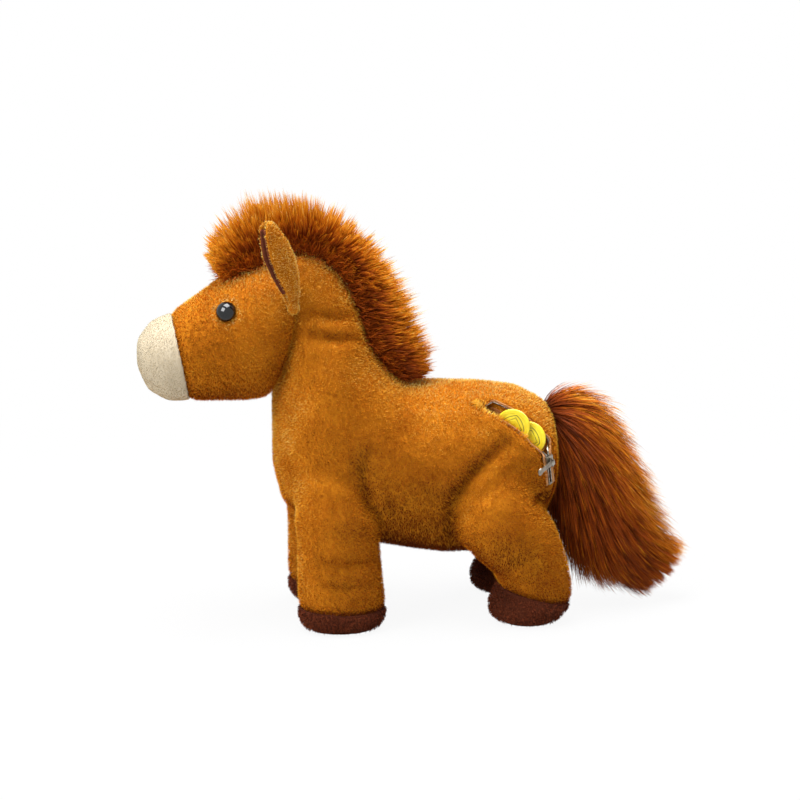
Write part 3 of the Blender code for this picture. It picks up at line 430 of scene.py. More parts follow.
def smoothed(mesh, steps, weight=None):
    """Moves each point towards the middle of its neighbours, as far as its weight lets it."""
    places, _ = points_of(mesh)
    edges = np.empty(len(mesh.edges) * 2, dtype=np.int64)
    mesh.edges.foreach_get("vertices", edges)
    first, second = edges.reshape(-1, 2).T
    neighbours = np.maximum(np.bincount(edges, minlength=len(places)), 1)[:, None]
    pull = 0.5 if weight is None else 0.5 * weight[:, None]
    for _ in range(steps):
        total = np.empty_like(places)
        for axis in range(3):
            ahead = np.bincount(first, places[second, axis], len(places))
            behind = np.bincount(second, places[first, axis], len(places))
            total[:, axis] = ahead + behind
        places = places + pull * (total / neighbours - places)
    set_points(mesh, places)


def soft_copy(name, nodes, voxel, steps, inset=0.0, kept=1):
    """One soft form over CAD nodes, remeshed, evened out and drawn in by the height of its pile."""
    corners, faces = [], []
    for node in nodes:
        mesh = NODES[node].data
        start = len(corners)
        corners.extend(v.co.copy() for v in mesh.vertices)
        faces.extend([start + i for i in face.vertices] for face in mesh.polygons)
    joined = bpy.data.meshes.new(name)
    joined.from_pydata(corners, [], faces)
    holder = linked(name, joined)
    remesh = holder.modifiers.new("remesh", "REMESH")
    remesh.mode = "VOXEL"
    remesh.voxel_size = voxel
    done = bpy.data.meshes.new_from_object(holder.evaluated_get(bpy.context.evaluated_depsgraph_get()))
    bpy.data.objects.remove(holder)
    outer_islands(done, kept)
    smoothed(done, steps)
    places, normals = points_of(done)
    set_points(done, places - normals * inset)
    done.name = name
    return done


def crease(mesh, line, depth, width):
    """Presses a soft fold into the mesh along a line, fading towards its ends."""
    places, normals = points_of(mesh)
    gap, along = to_line(places, line)
    fading = np.sin(np.clip(along, 0.02, 0.98) * math.pi) ** 0.5
    set_points(mesh, places - normals * (depth * fading * bell(gap, width))[:, None])


def on_form(search, pixels, mirror):
    """The places on a form that the photograph shows at these pixels, or those across from them."""
    found = []
    for px, py in pixels:
        hit = search.ray_cast(camera.location, sight(px, py))[0]
        if hit:
            found.append((hit.x, -hit.y if mirror else hit.y, hit.z))
    return np.array(found)


def put(name, mesh, coat, body="horse", nodes=(), smooth=True):
    """A piece of the horse from its mesh, with its material, on the body it moves with; the slot that comes
    with the material is not used.
    """
    material, slot = coat
    mesh.materials.clear()
    mesh.materials.append(material)
    mesh.polygons.foreach_set("use_smooth", [smooth] * len(mesh.polygons))
    piece = linked(name, mesh)
    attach(piece, body)
    if nodes:
        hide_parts(*nodes)
    return piece


def soft_piece(name, nodes, voxel, steps, coat, body="horse", inset=0.0, kept=1):
    """A soft form over CAD nodes as the piece that stands for them, and its mesh."""
    mesh = soft_copy(name, nodes, voxel, steps, inset, kept)
    return put(name, mesh, coat, body, nodes), mesh


def recolour(node, material):
    """Gives a CAD node that is shown as it is its material."""
    NODES[node].data.materials.clear()
    NODES[node].data.materials.append(material)


# strands
def scatter(mesh, count, draw):
    """Random places spread evenly over the mesh, with their normals."""
    mesh.calc_loop_triangles()
    corners = np.empty(len(mesh.loop_triangles) * 3, dtype=np.int64)
    mesh.loop_triangles.foreach_get("vertices", corners)
    corners = corners.reshape(-1, 3)
    places, normals = points_of(mesh)
    a, b, c = (places[corners[:, k]] for k in range(3))
    area = np.linalg.norm(np.cross(b - a, c - a), axis=1)
    chosen = draw.choice(len(corners), count, p=area / area.sum())
    u, v = draw.random((2, count))
    folded = u + v > 1
    u[folded] = 1 - u[folded]
    v[folded] = 1 - v[folded]
    shares = np.stack([1 - u - v, u, v], 1)[:, :, None]
    picked = corners[chosen]
    return (places[picked] * shares).sum(1), unit((normals[picked] * shares).sum(1))


def strand_faces(rows):
    """The corners of one strand's faces in a row, and where each face starts."""
    corners = []
    for row in range(rows - 1):
        corners += [2 * row, 2 * row + 1, 2 * row + 3, 2 * row + 2]
    corners += [2 * rows - 2, 2 * rows - 1, 2 * rows]
    return np.array(corners), 4 * np.arange(rows)


def bake_spots(count, rows):
    """A spot of its own on the bake map for every point, the strands in a square grid."""
    grid = math.ceil(math.sqrt(count))
    order = np.arange(count)
    cell = np.stack([order % grid, order // grid], 1)[:, None, :]
    local = np.empty((2 * rows + 1, 2))
    local[:, 0] = np.concatenate([np.tile([0.0, 1.0], rows), [0.5]])
    local[:, 1] = np.concatenate([np.repeat(np.arange(rows), 2), [rows]]) / rows
    return ((cell + 0.2 + 0.6 * local[None]) / grid).reshape(-1, 2)


def strands(name, lines, halves, sides, tone):
    """One mesh of tapered strands, from the half width, the way across and the tone at their points."""
    count, steps, _ = lines.shape
    rows = steps - 1
    per = 2 * rows + 1
    across = (sides * halves[..., None])[:, :rows]
    places = np.empty((count, per, 3))
    places[:, 0:-1:2] = lines[:, :rows] - across
    places[:, 1:-1:2] = lines[:, :rows] + across
    places[:, -1] = lines[:, -1]
    tones = np.concatenate([np.repeat(tone[:, :rows], 2, axis=1), tone[:, -1:]], 1)
    corners, starts = strand_faces(rows)
    loops = (np.arange(count)[:, None] * per + corners).ravel()
    firsts = (np.arange(count)[:, None] * len(corners) + starts).ravel()
    mesh = bpy.data.meshes.new(name)
    mesh.vertices.add(count * per)
    mesh.vertices.foreach_set("co", places.astype(np.float32).ravel())
    mesh.loops.add(len(loops))
    mesh.loops.foreach_set("vertex_index", loops.astype(np.int32))
    mesh.polygons.add(len(firsts))
    mesh.polygons.foreach_set("loop_start", firsts.astype(np.int32))
    mesh.update(calc_edges=True)
    kept_tone = mesh.attributes.new("strand_tone", "FLOAT", "POINT")
    kept_tone.data.foreach_set("value", tones.astype(np.float32).ravel())
    layer = mesh.uv_layers.new(name="OFBake")
    layer.data.foreach_set("uv", bake_spots(count, rows)[loops].astype(np.float32).ravel())
    return mesh


# short pile
TUFT = 2.8 * MM
DRIFT = 38 * MM
PATCH = 30 * MM
ROOT_DEPTH = 0.3 * MM
TONE_ALONG = np.array([0.10, 0.44, 0.74])
WIDTH_ALONG = np.array([1.0, 0.85, 0.0])


def pile(mesh, count, height, half, seed, lean=0.6, flow=(0, 0, -0.35), curl=0.42,
         keep=None, painted_light=None, pull=None):
    """A short plush pile on a form, in small curly tufts, as strands takes it.

    It grows where keep lets it, leans with the flow and towards pull, and a given function paints light and
    shade into its tone.
    """
    draw = np.random.default_rng(seed)
    roots, normals = scatter(mesh, count, draw)
    if keep is not None:
        kept = keep(roots)
        roots, normals = roots[kept], normals[kept]
    count = len(roots)
    base = seed * 10
    coarse = [waves(roots, TUFT, base + k) + 0.6 * waves(roots, TUFT * 2.4, base + 3 + k) for k in range(3)]
    swirl = np.stack(coarse, 1)
    drift = np.stack([waves(roots, DRIFT, base + 6 + k) for k in range(3)], 1)
    tilt = swirl * curl + drift * 0.35 + np.array(flow) + draw.normal(size=(count, 3)) * 0.24
    if pull is not None:
        tilt += pull(roots)
    tilt -= normals * (tilt * normals).sum(1)[:, None]
    long = height * draw.uniform(0.7, 1.15, count)[:, None]
    mid = roots + unit(normals + tilt * lean * 0.55) * long * 0.5
    tip = mid + unit(normals * 0.55 + tilt * lean + draw.normal(size=(count, 3)) * 0.18) * long * 0.55
    lines = np.stack([roots - normals * ROOT_DEPTH, mid, tip], 1)
    facing = unit(normals + draw.normal(size=(count, 3)) * 0.32)
    sides = np.repeat(unit(np.cross(unit(tip - roots), facing))[:, None], 3, 1)
    halves = WIDTH_ALONG * half * draw.uniform(0.75, 1.25, count)[:, None]
    clump = waves(roots, TUFT * 0.9, base + 9) * 0.07 + waves(roots, PATCH, base + 10) * 0.09
    tone = TONE_ALONG + (clump + draw.normal(size=count) * 0.045)[:, None]
    if painted_light is not None:
        tone = tone + painted_light(roots, normals)[:, None]
    return lines, halves, sides, tone


def pile_piece(name, mesh, count, height, half, seed, coat, body="horse", **kinds):
    """The pile on a form as a piece of its own."""
    put(name, strands(name, *pile(mesh, count, height, half, seed, **kinds)), coat, body)


# body and legs in one soft form, drawn in by the pile's depth and left as it is at the zip
LEGS = ("front_left", "front_right", "hind_left", "hind_right")
PILE_DEPTH = 1.5 * MM
ZIP_LINE = np.array([
    (40.1, -30.0, 155.1), (50.4, -34.0, 150.4), (62.2, -38.0, 143.9), (69.4, -40.1, 139.0),
    (74.9, -41.6, 133.5), (80.9, -42.9, 127.6), (84.4, -43.2, 124.8), (86.2, -42.9, 122.4),
    (87.5, -42.3, 118.8), (88.1, -41.6, 114.9),
]) * MM
CLOSED_LINE = np.array([(88.1, -41.6, 114.9), (89.3, -40.2, 107.1), (90.7, -38.6, 97.8)]) * MM
leg_nodes = [f"{leg}_leg" for leg in LEGS]
body_nodes = ["torso_skin", "torso_stuffing", *leg_nodes, *[f"{node}_stuffing" for node in leg_nodes]]
body_mesh = soft_copy("body_plush", body_nodes, 1.6 * MM, steps=3)
places, _ = points_of(body_mesh)
from_zip = np.minimum(gap_to(places, ZIP_LINE), gap_to(places, CLOSED_LINE))
calm = np.clip((from_zip - 9 * MM) / (8 * MM), 0, 1)
smoothed(body_mesh, 12, calm)
places, normals = points_of(body_mesh)
set_points(body_mesh, places - normals * (PILE_DEPTH * (0.25 + 0.75 * calm))[:, None])

# folds of the plush on both sides: depth and width in millimetres, and the photograph's pixels
FOLDS = {
    "elbow": (3.4, 5.5, [(388, 511), (378, 513), (370, 508), (366, 492), (364, 474), (362, 456)]),
    "chest": (1.2, 5.0, [(293, 520), (297, 508), (300, 494)]),
    "front_knee": (1.3, 4.0, [(318, 561), (336, 566), (356, 565), (374, 560)]),
    "front_shin": (1.0, 3.6, [(322, 585), (340, 590), (360, 588)]),
    "behind_zip": (3.6, 3.2, [(568, 490), (556, 494), (544, 497), (534, 502)]),
    "thigh": (5.0, 6.5, [
        (508, 440), (490, 458), (472, 478), (459, 494), (451, 510), (449, 526), (453, 542), (462, 556),
    ]),
    "thigh_seam": (3.6, 2.6, [(472, 480), (459, 496), (451, 512), (449, 528), (453, 544)]),
    "upper_neck": (2.4, 4.0, [(308, 312), (322, 316), (338, 318), (352, 316)]),
    "lower_neck": (2.8, 4.2, [(306, 333), (322, 338), (340, 340), (356, 338)]),
    "shoulder": (1.2, 9.0, [(380, 428), (396, 432), (414, 432), (430, 428)]),
    "hock": (1.0, 5.0, [(505, 575), (515, 566), (528, 560)]),
}
SHADED_DEPTH = 2
FULL_SHADE_DEPTH = 4
SHADE_WIDTH = 1.15
body_search = tree_of(body_mesh)
fold_shades = []
thigh_folds = []
for fold, (depth, width, pixels) in FOLDS.items():
    for mirror in (False, True):
        line = on_form(body_search, pixels, mirror)
        if len(line) < 2:
            continue
        crease(body_mesh, line, depth * MM, width * MM)
        # folds deeper than SHADED_DEPTH are also painted darker in the pile's tone, as painted shade
        if depth > SHADED_DEPTH:
            fold_shades.append((line, min(depth / FULL_SHADE_DEPTH, 1.0), width * SHADE_WIDTH * MM))
        if fold == "thigh":
            thigh_folds.append(line)
body = put("body_plush", body_mesh, brown_cloth, nodes=body_nodes)

# head
head_nodes = ["head_skin", "head_stuffing"]
head, head_mesh = soft_piece("head_plush", head_nodes, 1.4 * MM, 26, brown_cloth, inset=1.0 * MM)

# muzzle with the small fold of the mouth
MOUTH_PIXELS = [(141, 374), (147, 381), (154, 387), (163, 390)]
muzzle_mesh = soft_copy("muzzle_plush", ["muzzle"], 1.2 * MM, steps=34, inset=0.2 * MM)
muzzle_search = tree_of(muzzle_mesh)
for mirror in (False, True):
    crease(muzzle_mesh, on_form(muzzle_search, MOUTH_PIXELS, mirror), 1.3 * MM, 1.6 * MM)
muzzle = put("muzzle_plush", muzzle_mesh, cream_cloth, nodes=["muzzle"])


# turned forms
def bridge(form, rings):
    """Faces between each ring of points and the next."""
    for lower, upper in zip(rings[:-1], rings[1:]):
        for k in range(len(lower)):
            following = (k + 1) % len(lower)
            form.faces.new((lower[k], lower[following], upper[following], upper[k]))


def circle(turns):
    """Places around a circle of radius 1."""
    return [(math.cos(math.tau * k / turns), math.sin(math.tau * k / turns)) for k in range(turns)]


def mesh_from(form, name):
    """The finished form as a mesh."""
    mesh = bpy.data.meshes.new(name)
    form.to_mesh(mesh)
    form.free()
    return mesh


# eyes, at the place and slant of the CAD eyes
HANDS = {"left": -1, "right": 1}
EYE_RADIUS = 7.0 * MM
EYE_RISE = 6.2 * MM
EYE_FOOT = 1.4 * MM
EYE_PLACE = np.array((-132.517, 31.248, 223.198)) * MM
EYE_SLANT = np.array((-0.401324, 0.802383, 0.441724))
EYE_RINGS = 24
EYE_TURNS = 64


def eye_dome(name, hand):
    """A round dome with a narrower foot in the plush."""
    place = Vector(EYE_PLACE * (1, hand, 1))
    turn = Vector(EYE_SLANT * (1, hand, 1)).normalized().to_track_quat("Z", "Y")
    form = bmesh.new()

    def ring(radius, rise):
        """A ring of points at a height over the eye's rim."""
        spots = [Vector((radius * x, radius * y, rise)) for x, y in circle(EYE_TURNS)]
        return [form.verts.new(place + turn @ spot) for spot in spots]

    rings = [ring(EYE_RADIUS * 0.9, -EYE_FOOT)]
    for step in range(EYE_RINGS):
        angle = math.pi / 2 * step / EYE_RINGS
        rings.append(ring(EYE_RADIUS * math.cos(angle) ** 0.92, EYE_RISE * math.sin(angle)))
    top = form.verts.new(place + turn @ Vector((0, 0, EYE_RISE)))
    bridge(form, rings)
    for k in range(EYE_TURNS):
        form.faces.new((rings[-1][k], rings[-1][(k + 1) % EYE_TURNS], top))
    form.faces.new(list(reversed(rings[0])))
    return mesh_from(form, name)


for name, hand in HANDS.items():
    dome = eye_dome(f"{name}_eye_dome", hand)
    put(f"{name}_eye_dome", dome, (eye_black.material, "eye_black"), nodes=[f"{name}_eye"])
    recolour(f"{name}_eye_washer", washer_plastic.material)

# hooves and soles
hoof_meshes = {}
for leg in LEGS:
    hoof_nodes = [f"{leg}_hoof"]
    hoof, mesh = soft_piece(f"{leg}_hoof_plush", hoof_nodes, 1.2 * MM, 6, hoof_cloth, inset=0.8 * MM)
    hoof_meshes[leg] = mesh
    soft_piece(f"{leg}_sole_cloth", [f"{leg}_sole"], 0.7 * MM, 1, sole_cloth)

# ears and their linings
ear_meshes = {}
lining_meshes = {}
for name in HANDS:
    ear, flap = f"{name}_ear", f"{name}_ear_flap"
    _, ear_meshes[name] = soft_piece(f"{ear}_leaf", [ear], 0.8 * MM, 5, brown_cloth, flap, 0.3 * MM)
    lining_kind = (0.6 * MM, 3, lining_cloth, flap, -0.5 * MM)
    _, lining_meshes[name] = soft_piece(f"{ear}_inside", [f"{ear}_lining"], *lining_kind)

# dock
_, dock_mesh = soft_piece("dock_plush", ["tail_dock"], 1.2 * MM, 4, brown_cloth, "dock", 0.6 * MM)

# zip tapes, pouch, and the metal pieces as the CAD has them, with worn edges
for side in ("upper", "lower"):
    node = f"zip_tape_{side}"
    soft_piece(f"{node}_weave", [node], 0.5 * MM, 2, (tape.material, "zip_tape"))
soft_piece("pocket_cloth", ["pocket_lining"], 0.8 * MM, 1, pouch_cloth, kept=4)
for node in ("zip_teeth_upper", "zip_teeth_lower", "zip_stop", "zip_slider", "zip_pull"):
    recolour(node, metal.material)
    bevel = NODES[node].modifiers.new("bevel", "BEVEL")
    bevel.width = 0.12 * MM
    bevel.segments = 2
    bevel.limit_method = "ANGLE"

# coins, at the place and slant of the CAD coins: reach and height of their profile as shares
COIN_RADIUS = 12.0 * MM
COIN_HALF = 1.2 * MM
COIN_TURNS = 96
COIN_RISE = Vector((0.594295, -0.269634, 0.757701)).normalized()
COIN_FACE = Vector((-0.330109, -0.940886, -0.075904)).normalized()
COIN_SIDE = COIN_RISE.cross(COIN_FACE).normalized()
COIN_PROFILE = [
    (0.30, 0.72), (0.33, 0.84), (0.37, 0.84), (0.40, 0.72), (0.76, 0.72),
    (0.80, 0.98), (0.95, 1.0), (0.985, 0.9), (1.0, 0.7),
]
COINS = {
    "front": ((63.571, -35.88, 139.414), "front_coin"),
    "back": ((74.725, -35.985, 130.408), "rear_coin"),
}
SQUARES = ((0.56, 0.0), (0.70, 0.5))
SQUARE_TURN = math.radians(20)
SQUARE_STEPS = 8
LINE_HALF = 0.022
LINE_LEVEL = 0.76


def coin_point(form, centre, flat, reach, rise):
    """A point of a coin, from its way in the coin's plane, its reach and its height."""
    across, up = flat
    return form.verts.new(centre + COIN_FACE * rise + (COIN_SIDE * across + COIN_RISE * up) * reach)


def coin_disc(name, centre):
    """A disc with a raised rim and a raised small ring on both faces."""
    form = bmesh.new()
    levels = COIN_PROFILE + [(reach, -rise) for reach, rise in reversed(COIN_PROFILE)]
    rings = []
    for reach, rise in levels:
        sizes = (COIN_RADIUS * reach, COIN_HALF * rise)
        rings.append([coin_point(form, centre, flat, *sizes) for flat in circle(COIN_TURNS)])
    bridge(form, rings[::-1])
    form.faces.new(rings[0])
    form.faces.new(list(reversed(rings[-1])))
    bmesh.ops.recalc_face_normals(form, faces=form.faces)
    return mesh_from(form, name)


def square_side(form, centre, rise, start, reach, bulge):
    """One side of a square as a flat band, bulged towards its circle."""
    end = start + math.tau / 4
    corners = []
    for share in np.linspace(0, 1, SQUARE_STEPS + 1):
        arc = start + share * (end - start)
        flat = []
        for turn in (math.cos, math.sin):
            straight = (1 - share) * turn(start) + share * turn(end)
            flat.append((1 - bulge) * straight + bulge * turn(arc))
        for width in (-LINE_HALF, LINE_HALF):
            corners.append(coin_point(form, centre, flat, COIN_RADIUS * (reach + width), rise))
    for k in range(0, 2 * SQUARE_STEPS, 2):
        form.faces.new((corners[k], corners[k + 1], corners[k + 3], corners[k + 2]))


def coin_lines(name, centre):
    """Two plain squares, one in the other, drawn on each face."""
    form = bmesh.new()
    for facing in (1, -1):
        for quarter in range(4):
            start = math.tau * quarter / 4 + SQUARE_TURN
            for reach, bulge in SQUARES:
                square_side(form, centre, COIN_HALF * LINE_LEVEL * facing, start, reach, bulge)
    return mesh_from(form, name)


for name, (place, rider) in COINS.items():
    centre = Vector(place) * MM
    node = f"coin_{name}"
    disc = coin_disc(f"{node}_disc", centre)
    put(f"{node}_disc", disc, (coin_paint.material, "coin_yellow"), rider, [node], smooth=False)
    drawing = coin_lines(f"{node}_lines", centre)
    put(f"{node}_lines", drawing, (coin_ink.material, "coin_yellow"), rider)

# where pile grows
SEARCH_REACH = 0.03
INSIDE_SHARE = 0.75
ZIP_GAP = 2.5 * MM
SLIDER_GAP = 5.3 * MM
EYE_GAP = 7.4 * MM
LINING_GAP = 0.45 * MM
HOOF_TOP = 45 * MM
HOOF_FOOT = 2.2 * MM
body_search = tree_of(body_mesh)
muzzle_search = tree_of(muzzle_mesh)
hoof_searches = [tree_of(mesh) for mesh in hoof_meshes.values()]


def outside(searches, places):
    """Which places lie outside all of the closed forms."""
    kept = np.ones(len(places), bool)
    for search in searches:
        for index in np.nonzero(kept)[0]:
            point = Vector(places[index])
            spot, normal, _, _ = search.find_nearest(point, SEARCH_REACH)
            if spot is not None and (point - spot).dot(normal) < -INSIDE_SHARE * (point - spot).length:
                kept[index] = False
    return kept


def clear_of(mesh, gap):
    """A test for places that keep at least this far from a mesh."""
    search = tree_of(mesh)

    def keeps(places):
        return np.array([search.find_nearest(Vector(place))[3] > gap for place in places])

    return keeps


def body_keeps(places):
    """Places clear of the zip, of the slider's way and of the hooves."""
    kept = (gap_to(places, ZIP_LINE) > ZIP_GAP) & (gap_to(places, CLOSED_LINE) > SLIDER_GAP)
    low = kept & (places[:, 2] < HOOF_TOP)
    kept[low] = outside(hoof_searches, places[low])
    return kept


def eye_gap(places):
    """How far each place is from the nearer eye."""
    gaps = [np.linalg.norm(places - EYE_PLACE * (1, hand, 1), axis=1) for hand in HANDS.values()]
    return np.min(gaps, axis=0)


def head_keeps(places):
    """Places clear of the eyes and of the muzzle."""
    kept = eye_gap(places) > EYE_GAP
    kept[kept] = outside([muzzle_search], places[kept])
    return kept


def hoof_keeps(places):
    """Places clear of the legs and of the floor."""
    return (places[:, 2] > HOOF_FOOT) & outside([body_search], places)


# painted light and shade in the pile's tone
THIGH_MIDDLE = np.array((66, 60, 62)) * MM
THIGH_REACH = 26 * MM
RIM_SHIFT = np.array((10, 0, 0)) * MM
RIM_WIDTH = 5 * MM
HIGH_FROM = 0.165
BROW_FROM = 0.222
BROW_RISE = 0.03
EYE_RING = 9.5 * MM
EYE_RING_WIDTH = 2.5 * MM


def fold_shade(places):
    """How deep in a fold each place lies, from 0 to 1, as the strength of the painted shade in folds."""
    return np.max([by * bell(gap_to(places, line), width) for line, by, width in fold_shades], axis=0)


def body_painted_light(places, normals):
    """Painted light and shade: lighter on top, ahead and along the thigh's rim, darker below, at the sides,
    in the thigh's middle and in folds.
    """
    facing_up = np.where(normals[:, 2] > 0, 0.3, 0.42) * normals[:, 2]
    facing_ahead = 0.18 * np.maximum(-normals[:, 0], 0)
    facing_side = 0.22 * normals[:, 1] ** 4
    high = np.clip((places[:, 2] - HIGH_FROM) * 1.3, -0.13, 0.08)
    from_thigh = np.linalg.norm(np.abs(places) - THIGH_MIDDLE, axis=1)
    thigh = 0.14 * bell(from_thigh, THIGH_REACH) * (places[:, 0] > 0)
    from_rim = np.min([gap_to(places, line + RIM_SHIFT) for line in thigh_folds], axis=0)
    rim = 0.22 * bell(from_rim, RIM_WIDTH)
    return facing_up + facing_ahead + high + rim - thigh - facing_side + 0.03 - 0.34 * fold_shade(places)


def head_eye_ring_and_painted_light(places, normals):
    """Lighter around the eyes, where the fur has a lighter ring, and lighter on the brow and where the head
    faces up, as painted light from above.
    """
    ring = bell(eye_gap(places) - EYE_RING, EYE_RING_WIDTH)
    brow = np.clip((places[:, 2] - BROW_FROM) / BROW_RISE, -0.6, 1)
    return 0.3 * ring + 0.14 * brow + np.where(normals[:, 2] > 0, 0.24, 0.1) * normals[:, 2]


def muzzle_painted_light(places, normals):
    """Painted light: lighter where the muzzle faces up."""
    return 0.3 * normals[:, 2] + 0.05


def ear_painted_light(places, normals):
    """Painted light: lighter all over, as the ears stand in the light."""
    return np.full(len(places), 0.3)


# body pile, in pieces that each stay small
BODY_STRANDS = 230000
PIECE_ENDS = 0.045
body_kind = {"keep": body_keeps, "painted_light": body_painted_light}
lines, halves, sides, tone = pile(body_mesh, BODY_STRANDS, 2.4 * MM, 0.152 * MM, 11, **body_kind)
along, aside = lines[:, 0, 0], lines[:, 0, 1]
parts = {"front": along < -PIECE_ENDS, "back": along > PIECE_ENDS, "middle": np.abs(along) <= PIECE_ENDS}
for place, in_place in parts.items():
    for side, on_hand in (("left", aside < 0), ("right", aside >= 0)):
        picked = in_place & on_hand
        mesh = strands(f"pile_{place}_{side}", lines[picked], halves[picked], sides[picked], tone[picked])
        put(f"pile_{place}_{side}", mesh, brown_pile)

# longer pile along the zip's open part, which leans over the tape
LIP_STRANDS = 330000
LIP_PULL = 2.2
LIP_FROM = 2.3 * MM
LIP_TO = 6.0 * MM
CLOSED_FROM = 6.0 * MM
CLOSED_TO = 6.5 * MM
lip_line = np.concatenate([
    np.linspace(a, b, 10) for line in (ZIP_LINE, CLOSED_LINE) for a, b in zip(line[:-1], line[1:])
])


def to_lips(places):
    """Arrows towards the zip's line."""
    return unit(lip_line[nearest_in(places, lip_line)] - places) * LIP_PULL


def at_lips(places):
    """Places along the zip, a narrow row of them beside its closed part."""
    near = gap_to(places, ZIP_LINE)
    shut = gap_to(places, CLOSED_LINE)
    beside_open = (near > LIP_FROM) & (near < LIP_TO) & (shut > CLOSED_FROM)
    return beside_open | ((shut > CLOSED_FROM) & (shut < CLOSED_TO))


def lip_painted_light(places, normals):
    """The body's painted light and shade, a little darker."""
    return body_painted_light(places, normals) - 0.12


lip_kind = {"keep": at_lips, "painted_light": lip_painted_light, "pull": to_lips, "lean": 1.2}
pile_piece("pile_zip_lips", body_mesh, LIP_STRANDS, 5.2 * MM, 0.17 * MM, 14, brown_pile, **lip_kind)

# pile of head, muzzle, hooves, ears and dock
head_kind = {"keep": head_keeps, "painted_light": head_eye_ring_and_painted_light, "flow": (0.3, 0, -0.15), "curl": 0.62}
pile_piece("pile_head", head_mesh, 56000, 2.4 * MM, 0.16 * MM, 12, brown_pile, **head_kind)
muzzle_kind = {"painted_light": muzzle_painted_light, "curl": 0.1, "lean": 0.3}
pile_piece("pile_muzzle", muzzle_mesh, 34000, 0.5 * MM, 0.12 * MM, 13, cream_pile, **muzzle_kind)
hoof_kind = {"keep": hoof_keeps, "flow": (0, 0, -0.8)}
for seed, (leg, mesh) in enumerate(hoof_meshes.items(), 20):
    pile_piece(f"pile_{leg}_hoof", mesh, 8500, 2.1 * MM, 0.22 * MM, seed, hoof_pile, **hoof_kind)
for seed, (name, mesh) in enumerate(ear_meshes.items(), 30):
    flap = f"{name}_ear_flap"
    ear_kind = {"keep": clear_of(lining_meshes[name], LINING_GAP), "painted_light": ear_painted_light, "flow": (0, 0, 0.5)}
    pile_piece(f"pile_{name}_ear", mesh, 9000, 1.6 * MM, 0.17 * MM, seed, brown_pile, flap, **ear_kind)
pile_piece("pile_dock", dock_mesh, 2500, 2.4 * MM, 0.22 * MM, 34, brown_pile, "dock")

# outlines of mane and tail in the plane of symmetry, in millimetres: x, z and, where there is
# a third number, the half width there. The crest and brush run from withers to brow.
CREST = np.array([
    (-9.8, 169.9), (-19.8, 180.0), (-27.8, 192.0), (-33.8, 205.0), (-37.8, 220.0),
    (-43.8, 237.0), (-52.8, 251.0), (-65.8, 261.0), (-79.8, 264.0), (-101.8, 257.0),
    (-113.0, 253.5), (-120.0, 250.4), (-125.0, 247.4), (-129.0, 244.6),
]) * MM
BRUSH = np.array([
    (11.1, 172.4, 13.9), (10.4, 188.1, 18.4), (4.1, 203.7, 21.4), (-1.8, 216.4, 22.5),
    (-5.3, 230.2, 22.5), (-16.3, 250.4, 22.5), (-32.3, 269.8, 22.5), (-54.0, 287.5, 22.1),
    (-86.0, 298.0, 21.6), (-112.0, 294.5, 20.7), (-131.0, 282.0, 19.3), (-141.0, 270.0, 17.5),
    (-143.5, 258.0, 16.0), (-138.5, 247.0, 13.0),
]) * MM
TAIL_TOP = np.array([
    (87.5, 153.5, 14.0), (101.0, 161.5, 22.0), (125.0, 160.0, 27.0), (142.5, 142.0, 29.5),
    (154.5, 120.0, 31.0), (164.0, 98.5, 31.0), (174.0, 79.5, 29.1), (186.0, 60.0, 25.1),
    (196.5, 41.0, 18.0),
]) * MM
TAIL_LOW = np.array([
    (101.0, 125.9), (97.5, 112.0), (96.0, 91.0), (97.0, 71.0), (102.5, 52.0),
    (111.0, 33.0), (122.5, 17.5), (138.8, 6.5), (161.9, 3.5),
]) * MM
FUR_STEPS = 7
ROOT_STEPS = 6
FUR_HALF = 0.30 * MM
ROOT_HALF = 0.26 * MM
FUR_WAVE = 0.7 * MM
LIGHT_SHARE = 0.07


def along_rows(rows, share):
    """Rows read at shares of the way through them."""
    at = np.clip(share, 0, 1) * (len(rows) - 1)
    low = np.minimum(at.astype(int), len(rows) - 2)
    return between(rows[low], rows[low + 1], (at - low)[:, None])


def upright(flat, side):
    """Points in the horse's plane of symmetry, moved sideways."""
    return np.stack([flat[:, 0], side, flat[:, 1]], 1)


def bent(roots, middles, tips, steps):
    """Smooth lines from roots past middles to tips."""
    t = np.linspace(0, 1, steps)[None, :, None]
    return roots[:, None] * (1 - t) ** 2 + 2 * middles[:, None] * t * (1 - t) + tips[:, None] * t ** 2


def fur(name, curves, tone, draw, outward, body="horse", half=FUR_HALF):
    """Long strands as a piece, wavy, tapered and turned to face outwards."""
    count, steps = tone.shape
    lines = bent(*curves, steps)
    t = np.linspace(0, 1, steps)[None, :]
    heading = draw.normal(size=(count, 3))[:, None]
    pace = draw.uniform(2, 6, count)[:, None]
    start = draw.uniform(0, 6, count)[:, None]
    wave = heading * np.sin(t * pace + start)[..., None]
    lines = lines + wave * (FUR_WAVE * t ** 1.2)[..., None]
    ways = unit(np.gradient(lines, axis=1))
    facing = unit(outward[:, None] + draw.normal(size=(count, 1, 3)) * 0.5)
    sides = unit(np.cross(ways, facing))
    thick = half * draw.uniform(0.6, 1.3, count)[:, None]
    thin_root = 0.55 + 0.45 * np.sin(np.clip(t * 2.2, 0, 1) * math.pi / 2)
    halves = thick * np.sqrt(np.clip(1.02 - t, 0, 1)) * thin_root
    put(name, strands(name, lines, halves, sides, tone), long_fur, body)


# mane: a brush of long strands from the crest
MANE_FALL = np.array((0.25, 0, -1.0)) * (2.2 * MM)
MANE_ROOT = 11 * MM


